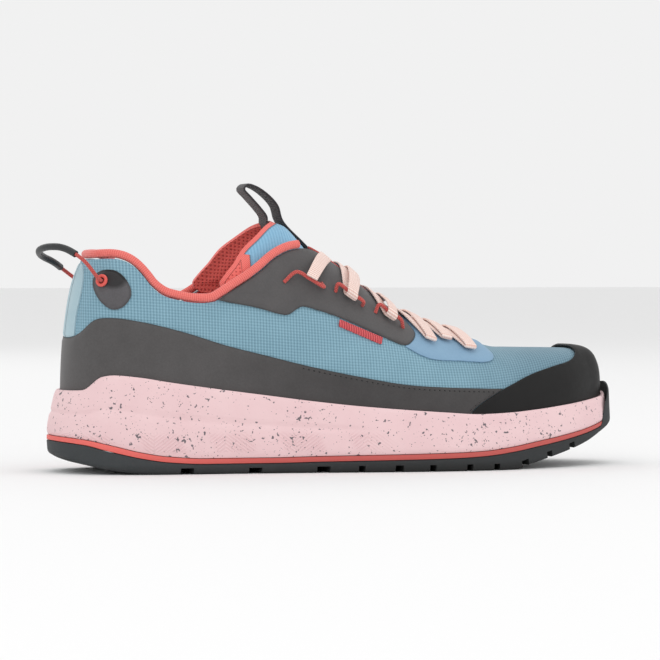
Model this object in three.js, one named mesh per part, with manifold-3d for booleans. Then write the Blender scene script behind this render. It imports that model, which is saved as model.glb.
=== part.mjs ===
// Approach shoe, right foot: a hollow woven upper on a layered, lugged sole.
// Millimetres, +X toe, +Y medial side, +Z up, sole on z = 0.
// The upper, its overlays and the tongue all come from one last surface.
import * as THREE from 'three';
import Module from 'manifold-3d';

const wasm = await Module();
wasm.setup();

// Driving sizes
const LENGTH = 284; // heel to toe of the sole
const BALL = 100; // width of the sole at the ball
const HEEL = 105; // height of the collar over the floor at the heel
const INSTEP = 123; // height of the last where the tongue ends
const GAP = 0.3; // between pieces that meet
const WALL = 2.2; // upper: shell fabric and lining
const PAD = 2.0; // foam added to the wall round the ankle
const OVERLAY = 1.0; // microfibre and rubber film on the shell
const LUG = 3.2; // depth of the tread
const LANE_RISE = 0.6; // the lanes along the tread are this much shallower
const WRAP = 2.6; // rubber wrap at the toe: thickness with its gap
const WRAP_TOP = 40;
const INSOLE = 4;
const TONGUE = 4.6;
const SINK = 2.4; // the laces press the tongue this far in
const BINDING = 4.0; // diameter of the collar roll
const WEBBING = { width: 14, thick: 1.3 };
const LACE = { width: 7, thick: 1.1 };
const CORD = 1.8; // diameter of the lace loops and of the heel cord
const SLEEVE = 3.8; // diameter of the sleeve on the heel cord

// Sections of the last, a row for each, from the heel round to the toe.
// x and spineX are shares of LENGTH; lat, med and spineY shares of BALL;
// inset is the distance in mm from the edge of the sole to the upper, spineZ
// the top line as a share of INSTEP, nLat and nMed the squareness of the
// section on each side, wrap the share of the rubber wrap at the toe.
const SECTIONS = [
  {
    x: 0.000, lat: 0.000, med: 0.000, inset: 7.6,
    spineX: 0.192, spineY: 0.00, spineZ: 1.040, nLat: 2.6, nMed: 2.6, wrap: 0,
  },
  {
    x: 0.012, lat: 0.165, med: 0.165, inset: 7.4,
    spineX: 0.196, spineY: 0.00, spineZ: 1.050, nLat: 2.6, nMed: 2.6, wrap: 0,
  },
  {
    x: 0.049, lat: 0.290, med: 0.290, inset: 7.0,
    spineX: 0.205, spineY: 0.00, spineZ: 1.060, nLat: 2.6, nMed: 2.6, wrap: 0,
  },
  {
    x: 0.112, lat: 0.365, med: 0.365, inset: 6.7,
    spineX: 0.225, spineY: 0.00, spineZ: 1.065, nLat: 2.7, nMed: 2.7, wrap: 0,
  },
  {
    x: 0.195, lat: 0.392, med: 0.385, inset: 6.5,
    spineX: 0.255, spineY: 0.00, spineZ: 1.070, nLat: 2.7, nMed: 2.7, wrap: 0,
  },
  {
    x: 0.293, lat: 0.405, med: 0.370, inset: 6.4,
    spineX: 0.315, spineY: 0.00, spineZ: 1.060, nLat: 2.6, nMed: 2.6, wrap: 0,
  },
  {
    x: 0.390, lat: 0.430, med: 0.352, inset: 6.4,
    spineX: 0.393, spineY: 0.01, spineZ: 0.980, nLat: 2.4, nMed: 2.5, wrap: 0,
  },
  {
    x: 0.481, lat: 0.470, med: 0.380, inset: 6.4,
    spineX: 0.481, spineY: 0.02, spineZ: 0.812, nLat: 2.3, nMed: 2.4, wrap: 0,
  },
  {
    x: 0.564, lat: 0.505, med: 0.445, inset: 6.3,
    spineX: 0.564, spineY: 0.02, spineZ: 0.648, nLat: 2.2, nMed: 2.4, wrap: 0,
  },
  {
    x: 0.641, lat: 0.515, med: 0.490, inset: 6.2,
    spineX: 0.641, spineY: 0.03, spineZ: 0.556, nLat: 2.2, nMed: 2.4, wrap: 0,
  },
  {
    x: 0.718, lat: 0.495, med: 0.510, inset: 6.2,
    spineX: 0.714, spineY: 0.04, spineZ: 0.506, nLat: 2.4, nMed: 2.6, wrap: 0,
  },
  {
    x: 0.787, lat: 0.440, med: 0.505, inset: 6.2,
    spineX: 0.770, spineY: 0.05, spineZ: 0.470, nLat: 2.8, nMed: 2.9, wrap: 0,
  },
  {
    x: 0.850, lat: 0.365, med: 0.480, inset: 6.2,
    spineX: 0.812, spineY: 0.06, spineZ: 0.465, nLat: 3.4, nMed: 3.4, wrap: 0,
  },
  {
    x: 0.906, lat: 0.275, med: 0.430, inset: 6.3,
    spineX: 0.842, spineY: 0.07, spineZ: 0.463, nLat: 4.0, nMed: 4.0, wrap: 0,
  },
  {
    x: 0.951, lat: 0.170, med: 0.360, inset: 6.4,
    spineX: 0.862, spineY: 0.08, spineZ: 0.462, nLat: 4.5, nMed: 4.5, wrap: 0.1,
  },
  {
    x: 0.985, lat: 0.065, med: 0.265, inset: 6.4,
    spineX: 0.872, spineY: 0.08, spineZ: 0.461, nLat: 5.0, nMed: 5.0, wrap: 0.7,
  },
  {
    x: 1.000, lat: -0.10, med: 0.100, inset: 6.4,
    spineX: 0.875, spineY: 0.08, spineZ: 0.461, nLat: 5.0, nMed: 5.0, wrap: 1,
  },
];

// Heights in mm along the sole: underside of the lugs, top of the outsole,
// top of the trim layer, footbed and top edge of the midsole.
const LEVELS = [
  { x: 0.000, floor: 9.5, rubber: 15.0, trim: 17.4, bed: 27.5, rim: 38.4 },
  { x: 0.040, floor: 4.8, rubber: 13.4, trim: 16.0, bed: 27.0, rim: 38.9 },
  { x: 0.068, floor: 2.6, rubber: 11.2, trim: 14.2, bed: 26.5, rim: 45.2 },
  { x: 0.085, floor: 1.8, rubber: 10.0, trim: 13.0, bed: 26.2, rim: 46.0 },
  { x: 0.125, floor: 0.4, rubber: 7.4, trim: 10.2, bed: 25.5, rim: 45.0 },
  { x: 0.170, floor: 0, rubber: 5.5, trim: 8.2, bed: 24.6, rim: 42.9 },
  { x: 0.230, floor: 0, rubber: 4.6, trim: 7.2, bed: 23.4, rim: 40.4 },
  { x: 0.340, floor: 0, rubber: 4.6, trim: 7.2, bed: 21.0, rim: 36.2 },
  { x: 0.420, floor: 0, rubber: 5.0, trim: 7.6, bed: 19.2, rim: 33.2 },
  { x: 0.500, floor: 0, rubber: 5.3, trim: 7.9, bed: 17.8, rim: 30.7 },
  { x: 0.640, floor: 0, rubber: 5.9, trim: 8.5, bed: 16.8, rim: 27.6 },
  { x: 0.700, floor: 0, rubber: 6.6, trim: 9.1, bed: 16.9, rim: 26.6 },
  { x: 0.760, floor: 0, rubber: 8.4, trim: 10.9, bed: 17.9, rim: 27.1 },
  { x: 0.800, floor: 2.8, rubber: 10.2, trim: 12.7, bed: 19.0, rim: 27.9 },
  { x: 0.850, floor: 6.2, rubber: 12.4, trim: 14.8, bed: 20.9, rim: 29.2 },
  { x: 0.915, floor: 11.4, rubber: 15.8, trim: 18.0, bed: 23.8, rim: 31.2 },
  { x: 0.965, floor: 17.2, rubber: 19.4, trim: 21.4, bed: 26.0, rim: 33.2 },
  { x: 1.000, floor: 21.8, rubber: 23.4, trim: 25.2, bed: 28.0, rim: 36.5 },
];

// Side of the midsole: share of its height, share of the inset of its edge.
const MIDSOLE_SIDE = [
  { height: 0.00, lean: 0.16 },
  { height: 0.12, lean: 0.02 },
  { height: 0.40, lean: 0.20 },
  { height: 0.62, lean: 0.44 },
  { height: 0.92, lean: 0.78 },
  { height: 1.00, lean: 1.00 },
];

// Lines on the side of the last: x as share of LENGTH, z as share of HEEL.
const COLLAR_LINE = [
  [-0.100, 0.945], [0.000, 0.946], [0.052, 0.948], [0.092, 0.954], [0.108, 0.945], [0.122, 0.922],
  [0.135, 0.884], [0.152, 0.824], [0.170, 0.789], [0.187, 0.774], [0.221, 0.758], [0.255, 0.764],
  [0.276, 0.800], [0.305, 0.846], [0.332, 0.893], [0.358, 0.948], [0.383, 0.983], [0.408, 0.997],
  [0.428, 0.993], [0.445, 0.985], [0.470, 1.060], [0.520, 1.300],
];
const BAND_LINE = [
  [-0.050, 0.600], [0.031, 0.600], [0.042, 0.622], [0.063, 0.682], [0.086, 0.690], [0.130, 0.674],
  [0.201, 0.627], [0.271, 0.568], [0.341, 0.520], [0.410, 0.473], [0.502, 0.420], [0.574, 0.386],
  [0.648, 0.371], [0.706, 0.365], [0.746, 0.362],
];
const CAP_LINE = [
  [0.680, 0.200], [0.686, 0.262], [0.751, 0.364], [0.767, 0.382], [0.808, 0.425], [0.855, 0.458],
  [0.890, 0.478], [0.907, 0.498], [0.916, 0.525], [0.912, 0.560], [0.906, 0.700],
];
const EYESTAY_LINE = [
  [0.250, 0.780], [0.258, 0.770], [0.325, 0.734], [0.364, 0.705], [0.377, 0.702], [0.402, 0.738],
  [0.424, 0.725], [0.465, 0.689], [0.543, 0.598], [0.578, 0.562], [0.588, 0.566], [0.606, 0.612],
  [0.596, 0.680], [0.592, 0.900],
];
const PATCH_LINE = [
  [0.580, 0.556], [0.609, 0.513], [0.631, 0.496], [0.680, 0.488], [0.727, 0.482], [0.742, 0.494],
  [0.746, 0.516], [0.740, 0.546], [0.746, 0.900],
];
const STRIP_LINE = [[0.036, 0.600], [0.040, 0.700], [0.052, 0.860], [0.064, 1.100]];
const TAG_LINE = [[0.466, 0.681], [0.540, 0.597], [0.536, 0.566], [0.463, 0.650]];
const HEEL_PATCH_LINE = [
  [0.076, 0.900], [0.096, 0.898], [0.113, 0.848], [0.117, 0.790], [0.103, 0.738], [0.087, 0.728],
  [0.072, 0.760], [0.063, 0.820], [0.065, 0.872],
];
const TONGUE_LINE = [
  [0.398, 1.160], [0.390, 1.152], [0.370, 1.122], [0.341, 1.062], [0.314, 1.006], [0.294, 0.940],
  [0.277, 0.890], [0.268, 0.850], [0.277, 0.815], [0.312, 0.795], [0.380, 0.735], [0.480, 0.630],
  [0.580, 0.530], [0.640, 0.530], [0.652, 0.600], [0.652, 1.160],
];
// Half widths of the throat seen from above, shares of LENGTH and BALL.
const THROAT = [
  [0.300, 0.260], [0.400, 0.215], [0.430, 0.190], [0.480, 0.160], [0.560, 0.125], [0.640, 0.095],
  [0.675, 0.075], [0.695, 0.040], [0.700, 0.015],
];
// Gaps between the side lugs: middle and width, shares of LENGTH.
const LUG_GAPS = [
  [0.201, 0.022], [0.315, 0.022], [0.428, 0.022], [0.491, 0.011], [0.553, 0.014], [0.610, 0.011],
  [0.675, 0.011], [0.725, 0.011], [0.785, 0.014], [0.835, 0.011], [0.885, 0.012],
];
// Lanes along the tread: middle as share of the half width, width in mm.
const LANES = [[-0.66, 3.2], [-0.22, 3.0], [0.22, 3.0], [0.66, 3.2]];
// Lace loops: the slots behind and ahead and the tip, in side view.
const LOOPS = [
  { back: [0.373, 0.846], tip: [0.414, 0.848], front: [0.439, 0.838] },
  { back: [0.463, 0.801], tip: [0.483, 0.778], front: [0.510, 0.736] },
  { back: [0.533, 0.703], tip: [0.553, 0.679], front: [0.583, 0.633] },
];
const THROAT_END = 0.7;
// Lace bars: the turn of the lace on each side and where it crosses the top
// line; cord marks the bars that run round a lace loop.
const BARS = [
  { x: 0.414, z: 0.848, crown: 0.476, cord: true },
  { x: 0.483, z: 0.778, crown: 0.508, cord: true },
  { x: 0.553, z: 0.679, crown: 0.562, cord: true },
  { x: 0.627, z: 0.572, crown: 0.608, cord: false },
  { x: 0.661, z: 0.572, crown: 0.646, cord: false },
  { x: 0.700, z: 0.530, crown: 0.686, cord: false },
];
// Tongue webbing beyond the top of the tongue: the pull loop in side view.
const PULL_LOOP = [
  [0.389, 1.195], [0.372, 1.245], [0.352, 1.280], [0.336, 1.290], [0.330, 1.270], [0.340, 1.235],
  [0.356, 1.185], [0.368, 1.145],
];
const WEBBING_FOOT = 0.56; // lower end of the webbing, share of LENGTH
const GUIDE = { x: 0.077, z: 0.852, radius: 2.2, thick: 0.8 };
// Heel cord behind the collar, from the lateral side round to the medial:
// shares of LENGTH, BALL and HEEL.
const HEEL_CORD = [
  [0.039, -0.245, 0.947], [0.013, -0.165, 1.000], [-0.007, -0.090, 1.006],
  [-0.015, 0.000, 0.992], [-0.005, 0.090, 0.968], [0.022, 0.165, 0.938], [0.047, 0.245, 0.900],
];
const SLEEVE_RUN = [0.24, 0.76]; // part of the cord inside the sleeve

const COUNT = 2 * (SECTIONS.length - 1);

// Closed curve through one value triple per section, lateral side first.
function ringCurve(triple) {
  const last = SECTIONS.length - 1;
  const points = [];
  for (let i = 0; i < COUNT; i += 1) {
    const lateral = i <= last;
    const row = SECTIONS[lateral ? i : COUNT - i];
    points.push(new THREE.Vector3(...triple(row, lateral)));
  }
  return new THREE.CatmullRomCurve3(points, true, 'centripetal');
}

const edgeCurve = ringCurve((row, lateral) => {
  const y = (lateral ? -row.lat : row.med) * BALL;
  return [row.x * LENGTH, y, 0];
});
const spineCurve = ringCurve((row) => [row.spineX * LENGTH, row.spineY * BALL, row.spineZ * INSTEP]);
const formCurve = ringCurve((row, lateral) => [row.inset, lateral ? row.nLat : row.nMed, row.wrap]);

function atTurn(curve, p) {
  const turn = p / COUNT;
  return curve.getPoint(turn - Math.floor(turn));
}

// Smooth value of a column of LEVELS at a place along the shoe.
function level(column, x) {
  const s = THREE.MathUtils.clamp(x / LENGTH, 0, 1);
  let i = 0;
  while (i < LEVELS.length - 2 && LEVELS[i + 1].x < s) i += 1;
  const climb = (k) => (LEVELS[k + 1][column] - LEVELS[k][column]) / (LEVELS[k + 1].x - LEVELS[k].x);
  const slope = (k) => {
    const before = climb(Math.max(k - 1, 0));
    const after = climb(Math.min(k, LEVELS.length - 2));
    return before * after > 0 ? (2 * before * after) / (before + after) : 0;
  };
  const width = LEVELS[i + 1].x - LEVELS[i].x;
  const t = (s - LEVELS[i].x) / width;
  const rise = t * t * (3 - 2 * t);
  const bend = t * (1 - t) * width * (slope(i) * (1 - t) - slope(i + 1) * t);
  return LEVELS[i][column] * (1 - rise) + LEVELS[i + 1][column] * rise + bend;
}

// Point of the sole's outline, moved inwards.
function outline(p, inset) {
  const here = atTurn(edgeCurve, p);
  const along = atTurn(edgeCurve, p + 0.02).sub(atTurn(edgeCurve, p - 0.02)).normalize();
  return new THREE.Vector3(here.x - along.y * inset, here.y + along.x * inset, 0);
}

// Point of the last: p runs round the foot, v from the footbed to the top line.
function lastPoint(p, v) {
  const [inset, n] = atTurn(formCurve, p).toArray();
  const spine = atTurn(spineCurve, p);
  const base = outline(p, inset);
  base.z = level('bed', base.x) + GAP;
  const phi = (v * Math.PI) / 2;
  const reach = (Math.cos(phi) ** n + Math.sin(phi) ** n) ** (-1 / n);
  const across = 1 - reach * Math.cos(phi);
  const up = reach * Math.sin(phi);
  return new THREE.Vector3(
    base.x + (spine.x - base.x) * across,
    base.y + (spine.y - base.y) * across,
    base.z + (spine.z - base.z) * up,
  );
}

function lastNormal(p, v) {
  const step = 0.02;
  if (v > 0.999) {
    const run = atTurn(spineCurve, p + step).sub(atTurn(spineCurve, p - step));
    const flat = new THREE.Vector3(-run.z, 0, run.x);
    if (flat.length() < 1e-6) return new THREE.Vector3(0, 0, 1);
    return flat.multiplyScalar(Math.sign(flat.z)).normalize();
  }
  const around = lastPoint(p + step, v).sub(lastPoint(p - step, v));
  const above = lastPoint(p, Math.min(v + step, 1)).sub(lastPoint(p, Math.max(v - step, 0)));
  return around.cross(above).normalize();
}

function skin(p, v, offset) {
  return lastPoint(p, v).addScaledVector(lastNormal(p, v), offset);
}

// Wall of the upper: thicker where foam pads the ankle.
function wallAt(point) {
  const high = THREE.MathUtils.smoothstep(point.z, 0.62 * HEEL, 0.82 * HEEL);
  const back = 1 - THREE.MathUtils.smoothstep(point.x, 0.20 * LENGTH, 0.28 * LENGTH);
  return WALL + PAD * high * back;
}

// Closed solid from triangles; equal corners are shared, empty ones dropped.
function solid(triangles) {
  const index = new Map();
  const vertices = [];
  const faces = [];
  const number = (point) => {
    const key = point.map((value) => Math.round(value * 2e4)).join(' ');
    if (!index.has(key)) {
      index.set(key, vertices.length / 3);
      vertices.push(...point);
    }
    return index.get(key);
  };
  for (const corners of triangles) {
    const [a, b, c] = corners.map((corner) => number([corner.x, corner.y, corner.z]));
    if (a !== b && b !== c && c !== a) faces.push(a, b, c);
  }
  const mesh = new wasm.Mesh({
    numProp: 3,
    vertProperties: new Float32Array(vertices),
    triVerts: new Uint32Array(faces),
  });
  return new wasm.Manifold(mesh);
}

// Loft through rings that run round the foot, closed by rungs across the
// first and last ring so that a floor follows the length of the shoe.
function loft(rings) {
  const triangles = [];
  const size = rings[0].length;
  const half = size / 2;
  for (let j = 0; j < rings.length - 1; j += 1) {
    for (let i = 0; i < size; i += 1) {
      const next = (i + 1) % size;
      triangles.push([rings[j][i], rings[j][next], rings[j + 1][next]]);
      triangles.push([rings[j][i], rings[j + 1][next], rings[j + 1][i]]);
    }
  }
  const first = rings[0];
  const last = rings[rings.length - 1];
  for (let i = 0; i < half; i += 1) {
    const far = (size - i) % size;
    triangles.push([first[i], first[far], first[i + 1]]);
    triangles.push([first[far], first[size - i - 1], first[i + 1]]);
    triangles.push([last[i], last[i + 1], last[far]]);
    triangles.push([last[far], last[i + 1], last[size - i - 1]]);
  }
  return solid(triangles);
}

function ring(steps, place) {
  return Array.from({ length: steps }, (_, i) => place((i * COUNT) / steps));
}

// The last grown or shrunk; a wall function shrinks it by the wall.
function lastSolid(offsetAt, drop, steps, levels) {
  const rings = [];
  for (let j = 0; j <= levels; j += 1) {
    const v = j / levels;
    rings.push(ring(steps, (p) => skin(p, v, offsetAt(lastPoint(p, v)))));
  }
  if (drop > 0) {
    rings.unshift(rings[0].map((point) => new THREE.Vector3(point.x, point.y, point.z - drop)));
  }
  return loft(rings);
}

// Prism: an outline on the side of the shoe carried across it.
function sidePrism(points, from, to) {
  const shape = new THREE.Shape(points.map(([x, z]) => new THREE.Vector2(x, z)));
  const body = new THREE.ExtrudeGeometry(shape, { depth: to - from, bevelEnabled: false });
  body.rotateX(Math.PI / 2);
  body.translate(0, to, 0);
  return fromGeometry(body);
}

function fromGeometry(geometry) {
  const flat = geometry.index ? geometry.toNonIndexed() : geometry;
  const place = flat.getAttribute('position');
  const triangles = [];
  for (let i = 0; i < place.count; i += 3) {
    triangles.push([0, 1, 2].map((k) => new THREE.Vector3().fromBufferAttribute(place, i + k)));
  }
  return solid(triangles);
}

// Smooth line through a table of shares, in mm.
function smoothLine(rows, steps, closed = false) {
  const points = rows.map(([x, z]) => new THREE.Vector3(x * LENGTH, z * HEEL, 0));
  const curve = new THREE.CatmullRomCurve3(points, closed, 'centripetal');
  const out = curve.getPoints(steps).map((point) => [point.x, point.y]);
  return closed ? out.slice(0, -1) : out;
}

const WIDE = BALL; // half width of the cutters
const HIGH = 2 * HEEL; // top of the cutters
const LOW = -HEEL;

// Everything above the collar line and inside the throat.
const collarEdge = smoothLine(COLLAR_LINE, 32);
const collarCut = sidePrism(
  [...collarEdge, [0.52 * LENGTH, HIGH], [-0.1 * LENGTH, HIGH]],
  -WIDE,
  WIDE,
);

function throatCut(grow) {
  const middle = (x) => atTurn(spineCurve, crownTurn(x)).y;
  const near = THROAT.map(([x, half]) => [x * LENGTH + grow, half * BALL + grow]);
  const outlinePoints = [
    ...near.map(([x, half]) => new THREE.Vector2(x, middle(x) - half)),
    ...near.reverse().map(([x, half]) => new THREE.Vector2(x, middle(x) + half)),
  ];
  const shape = new THREE.Shape(outlinePoints);
  const body = new THREE.ExtrudeGeometry(shape, { depth: HIGH, bevelEnabled: false });
  body.translate(0, 0, 0.45 * HEEL);
  return fromGeometry(body);
}

// Turn round the foot at which the top line passes a place along the shoe.
function crownTurn(x) {
  let low = 0;
  let high = COUNT / 2;
  for (let k = 0; k < 30; k += 1) {
    const mid = (low + high) / 2;
    if (atTurn(spineCurve, mid).x < x) low = mid;
    else high = mid;
  }
  return (low + high) / 2;
}

// Turn and rise on one side of the last for a point given in side view.
function sideSpot(x, z, side) {
  let p = crownTurn(x);
  let v = 0.5;
  for (let k = 0; k < 12; k += 1) {
    const turn = side < 0 ? p : COUNT - p;
    let low = 0;
    let high = 1;
    for (let m = 0; m < 24; m += 1) {
      v = (low + high) / 2;
      if (lastPoint(turn, v).z < z) low = v;
      else high = v;
    }
    const error = lastPoint(turn, v).x - x;
    p -= error / ((LENGTH / COUNT) * 2);
    p = THREE.MathUtils.clamp(p, 0.01, COUNT / 2 - 0.01);
  }
  return { p: side < 0 ? p : COUNT - p, v };
}

function sidePoint(x, z, side, offset) {
  const spot = sideSpot(x, z, side);
  return skin(spot.p, spot.v, offset);
}

const ROUND = 40;
const RISE = 10;
const outer = lastSolid(() => 0, 0, ROUND, RISE);
const inner = lastSolid((point) => -wallAt(point), 3, ROUND, RISE);
const skinLow = lastSolid(() => GAP, 0, ROUND, RISE);
const skinHigh = lastSolid(() => GAP + OVERLAY, 0, ROUND, RISE);
const overlayShell = skinHigh.subtract(skinLow);
const throat = throatCut(0);

function overlay(points, from = -WIDE, to = WIDE) {
  return overlayShell.intersect(sidePrism(points, from, to));
}

// Line of the midsole's edge, moved up or down, as a cutting line.
function rimLine(shift, from, to) {
  const out = [];
  for (let i = 0; i <= 14; i += 1) {
    const x = THREE.MathUtils.lerp(from, to, i / 14) * LENGTH;
    out.push([x, level('rim', x) + shift]);
  }
  return out;
}

const parts = {};

// Upper: the last less its inside, open at collar, throat and underneath.
parts.upper = outer.subtract(inner).subtract(collarCut).subtract(throat);

// Sole: rings of the outline at the levels of each layer.
function wrapAt(p) {
  return atTurn(formCurve, p).z;
}
const soleRing = (inset, height) => ring(48, (p) => {
  const point = outline(p, inset(p));
  point.z = height(point.x, p);
  return point;
});
const wrapTop = (x, p) => THREE.MathUtils.lerp(level('rubber', x) + LUG, WRAP_TOP, wrapAt(p));
const rubber = loft([
  soleRing(() => 2.2, (x) => level('floor', x)),
  soleRing(() => 0.3, (x) => level('floor', x) + 1.6),
  soleRing((p) => 1.2 * wrapAt(p), (x, p) => wrapTop(x, p)),
]);
const seat = loft([
  soleRing((p) => WRAP * wrapAt(p) - GAP, (x) => level('rubber', x)),
  soleRing((p) => WRAP * wrapAt(p) - GAP, (x) => level('rubber', x) + 60),
]);

function treadCutter() {
  const cutters = [];
  for (const [middle, width] of LUG_GAPS) {
    const x = middle * LENGTH;
    const gap = width * LENGTH;
    const low = level('floor', x);
    const slope = (level('floor', x + 4) - level('floor', x - 4)) / 8;
    const depth = Math.min(LUG, 0.6 * (level('rubber', x) - low));
    const box = new THREE.BoxGeometry(gap, 2 * WIDE, 2 * depth + 4);
    box.rotateY(-Math.atan(slope));
    box.translate(x, 0, low - 2);
    cutters.push(fromGeometry(box));
  }
  for (const [share, width] of LANES) {
    cutters.push(lane(share, width));
  }
  return wasm.Manifold.union(cutters);
}

// Lane along the tread, curved with the outline of the sole.
function lane(share, width) {
  const stations = 8;
  const rows = [];
  for (let i = 0; i <= stations; i += 1) {
    const p = THREE.MathUtils.lerp(3.6, 11.9, i / stations);
    const side = outline(p, 0);
    const other = outline(COUNT - p, 0);
    const y = THREE.MathUtils.lerp(side.y, other.y, (share + 1) / 2);
    const x = (side.x + other.x) / 2;
    const low = level('floor', x);
    const top = low + Math.min(LUG, 0.6 * (level('rubber', x) - low)) - LANE_RISE;
    rows.push([
      new THREE.Vector3(x, y - width / 2, low - 3),
      new THREE.Vector3(x, y + width / 2, low - 3),
      new THREE.Vector3(x, y + width / 2, top),
      new THREE.Vector3(x, y - width / 2, top),
    ]);
  }
  return bar(rows);
}

// Solid through four-cornered cross-sections.
function bar(rows) {
  const triangles = [];
  for (let j = 0; j < rows.length - 1; j += 1) {
    for (let k = 0; k < 4; k += 1) {
      const next = (k + 1) % 4;
      triangles.push([rows[j][k], rows[j + 1][k], rows[j + 1][next]]);
      triangles.push([rows[j][k], rows[j + 1][next], rows[j][next]]);
    }
  }
  const first = rows[0];
  const last = rows[rows.length - 1];
  triangles.push([first[0], first[1], first[2]], [first[0], first[2], first[3]]);
  triangles.push([last[0], last[2], last[1]], [last[0], last[3], last[2]]);
  const body = solid(triangles);
  if (body.volume() > 0) return body;
  return solid(triangles.map(([a, b, c]) => [a, c, b]));
}

parts.outsole = rubber.subtract(seat).subtract(treadCutter());

const trimInset = (p) => WRAP * wrapAt(p);
parts.sole_trim_layer = loft([
  soleRing(trimInset, (x) => level('rubber', x) + GAP),
  soleRing(trimInset, (x) => level('trim', x)),
]);

const rimInset = (p) => Math.max(atTurn(formCurve, p).x - OVERLAY - 1.4, WRAP * wrapAt(p));
const cup = lastSolid(() => 2 * GAP + OVERLAY, 0, ROUND, RISE);
const foam = loft(MIDSOLE_SIDE.map(({ height, lean }) => soleRing(
  (p) => THREE.MathUtils.lerp(trimInset(p), rimInset(p), lean),
  (x) => THREE.MathUtils.lerp(level('trim', x) + GAP, level('rim', x), height),
)));
parts.midsole = foam.subtract(cup.translate(0, 0, -GAP));

const insoleRing = (rise, extra) => ring(ROUND, (p) => {
  const point = outline(p, atTurn(formCurve, p).x + WALL + GAP + extra);
  point.z = level('bed', point.x) + rise;
  return point;
});
parts.insole = loft([insoleRing(GAP, 0.4), insoleRing(1.5, 0.2), insoleRing(INSOLE + GAP, 0.6)]);

// Overlays cut between two skins of the last.
parts.mudguard = overlay([
  ...rimLine(-6, -0.05, 0.69),
  ...smoothLine(BAND_LINE, 18).reverse(),
]).subtract(sidePrism([
  ...smoothLine(CAP_LINE, 14).map(([x, z]) => [x - GAP, z]),
  [1.2 * LENGTH, HIGH],
  [1.2 * LENGTH, LOW],
  [0.68 * LENGTH, LOW],
], -WIDE, WIDE));
parts.toe_cap = overlay([
  ...smoothLine(CAP_LINE, 14).slice(2),
  [1.2 * LENGTH, 0.7 * HEEL],
  ...rimLine(-6, 0.7, 1.1).reverse(),
]);
parts.heel_strip = overlay([
  [-0.05 * LENGTH, 0.6 * HEEL + GAP],
  ...smoothLine(STRIP_LINE, 8).map(([x, z], i) => [x, i ? z : 0.6 * HEEL + GAP]),
  [-0.05 * LENGTH, 1.1 * HEEL],
]).subtract(collarCut).subtract(sidePrism([
  ...smoothLine(BAND_LINE, 18).map(([x, z]) => [x, z + GAP]),
  [0.7 * LENGTH, 0],
  [-0.05 * LENGTH, 0],
], -WIDE, WIDE)).subtract(sidePrism(
  smoothLine(HEEL_PATCH_LINE, 16, true).map(([x, z]) => [x - 2 * GAP, z]),
  -WIDE,
  WIDE,
));

const eyestayOutline = [
  ...smoothLine(EYESTAY_LINE, 22),
  [0.40 * LENGTH, HIGH],
  [0.25 * LENGTH, HIGH],
];
const patchOutline = [...smoothLine(PATCH_LINE, 12), [0.57 * LENGTH, 0.9 * HEEL]];
const eyestayGrown = sidePrism(
  [
    ...smoothLine(EYESTAY_LINE, 22).map(([x, z]) => [x + GAP, z - GAP]),
    [0.40 * LENGTH, HIGH],
    [0.25 * LENGTH, HIGH],
  ],
  -WIDE,
  WIDE,
);
const throatWide = throatCut(0.6);
parts.vamp_patch = overlay(patchOutline).subtract(eyestayGrown).subtract(throatWide);
for (const [name, side] of [['lateral', -1], ['medial', 1]]) {
  const from = side < 0 ? -WIDE : 0;
  const to = side < 0 ? 0 : WIDE;
  parts[`eyestay_${name}`] = overlay(eyestayOutline, from, to)
    .subtract(collarCut)
    .subtract(throatWide);
  parts[`side_tag_${name}`] = overlay(
    TAG_LINE.map(([x, z]) => [x * LENGTH, z * HEEL]),
    from,
    to,
  );
  parts[`heel_patch_${name}`] = overlay(smoothLine(HEEL_PATCH_LINE, 16, true), from, to);
}

// Tongue: a padded shell under the eyestays, cut to its outline.
const sunk = (x) => SINK * THREE.MathUtils.smoothstep(x, 0.40 * LENGTH, 0.46 * LENGTH);
const tongueTop = lastSolid(({ x }) => -WALL - GAP - sunk(x), 0, ROUND, RISE);
const tongueBottom = lastSolid(({ x }) => -WALL - GAP - TONGUE - sunk(x), 0, ROUND, RISE);
parts.tongue = tongueTop
  .subtract(tongueBottom)
  .intersect(sidePrism(smoothLine(TONGUE_LINE, 24, true), -WIDE, WIDE));

// Tube along a curve; a bore leaves it hollow.
function tube(points, radius, steps, sides = 8, bore = 0) {
  const circle = (size) => Array.from({ length: sides }, (_, i) => new THREE.Vector2(
    size * Math.cos((i * 2 * Math.PI) / sides),
    size * Math.sin((i * 2 * Math.PI) / sides),
  ));
  const shape = new THREE.Shape(circle(radius));
  if (bore > 0) shape.holes.push(new THREE.Path(circle(bore).reverse()));
  const path = new THREE.CatmullRomCurve3(points, false, 'centripetal');
  return fromGeometry(new THREE.ExtrudeGeometry(shape, {
    steps,
    extrudePath: path,
    bevelEnabled: false,
  }));
}

// Collar binding: a roll on the cut edge of the upper, out past the tongue.
const EDGE_RUN = 6.15; // turns from the heel to the top of the throat
function collarHeight(x) {
  let i = 0;
  while (i < collarEdge.length - 2 && collarEdge[i + 1][0] < x) i += 1;
  const [[x0, z0], [x1, z1]] = [collarEdge[i], collarEdge[i + 1]];
  const tilt = new THREE.Vector3(z0 - z1, 0, x1 - x0).normalize();
  return { z: THREE.MathUtils.lerp(z0, z1, (x - x0) / (x1 - x0)), tilt };
}
function collarPoint(p) {
  const place = (v) => {
    const point = lastPoint(p, v);
    const front = THREE.MathUtils.smoothstep(point.x, 0.20 * LENGTH, 0.28 * LENGTH);
    return skin(p, v, (-wallAt(point) / 2) * (1 - front) + 0.2 * front);
  };
  let low = 0.2;
  let high = 1;
  for (let k = 0; k < 30; k += 1) {
    const v = (low + high) / 2;
    const point = place(v);
    if (point.z < collarHeight(point.x).z) low = v;
    else high = v;
  }
  const point = place(low);
  return point.addScaledVector(collarHeight(point.x).tilt, BINDING / 2 + 1.5 * GAP);
}
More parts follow.
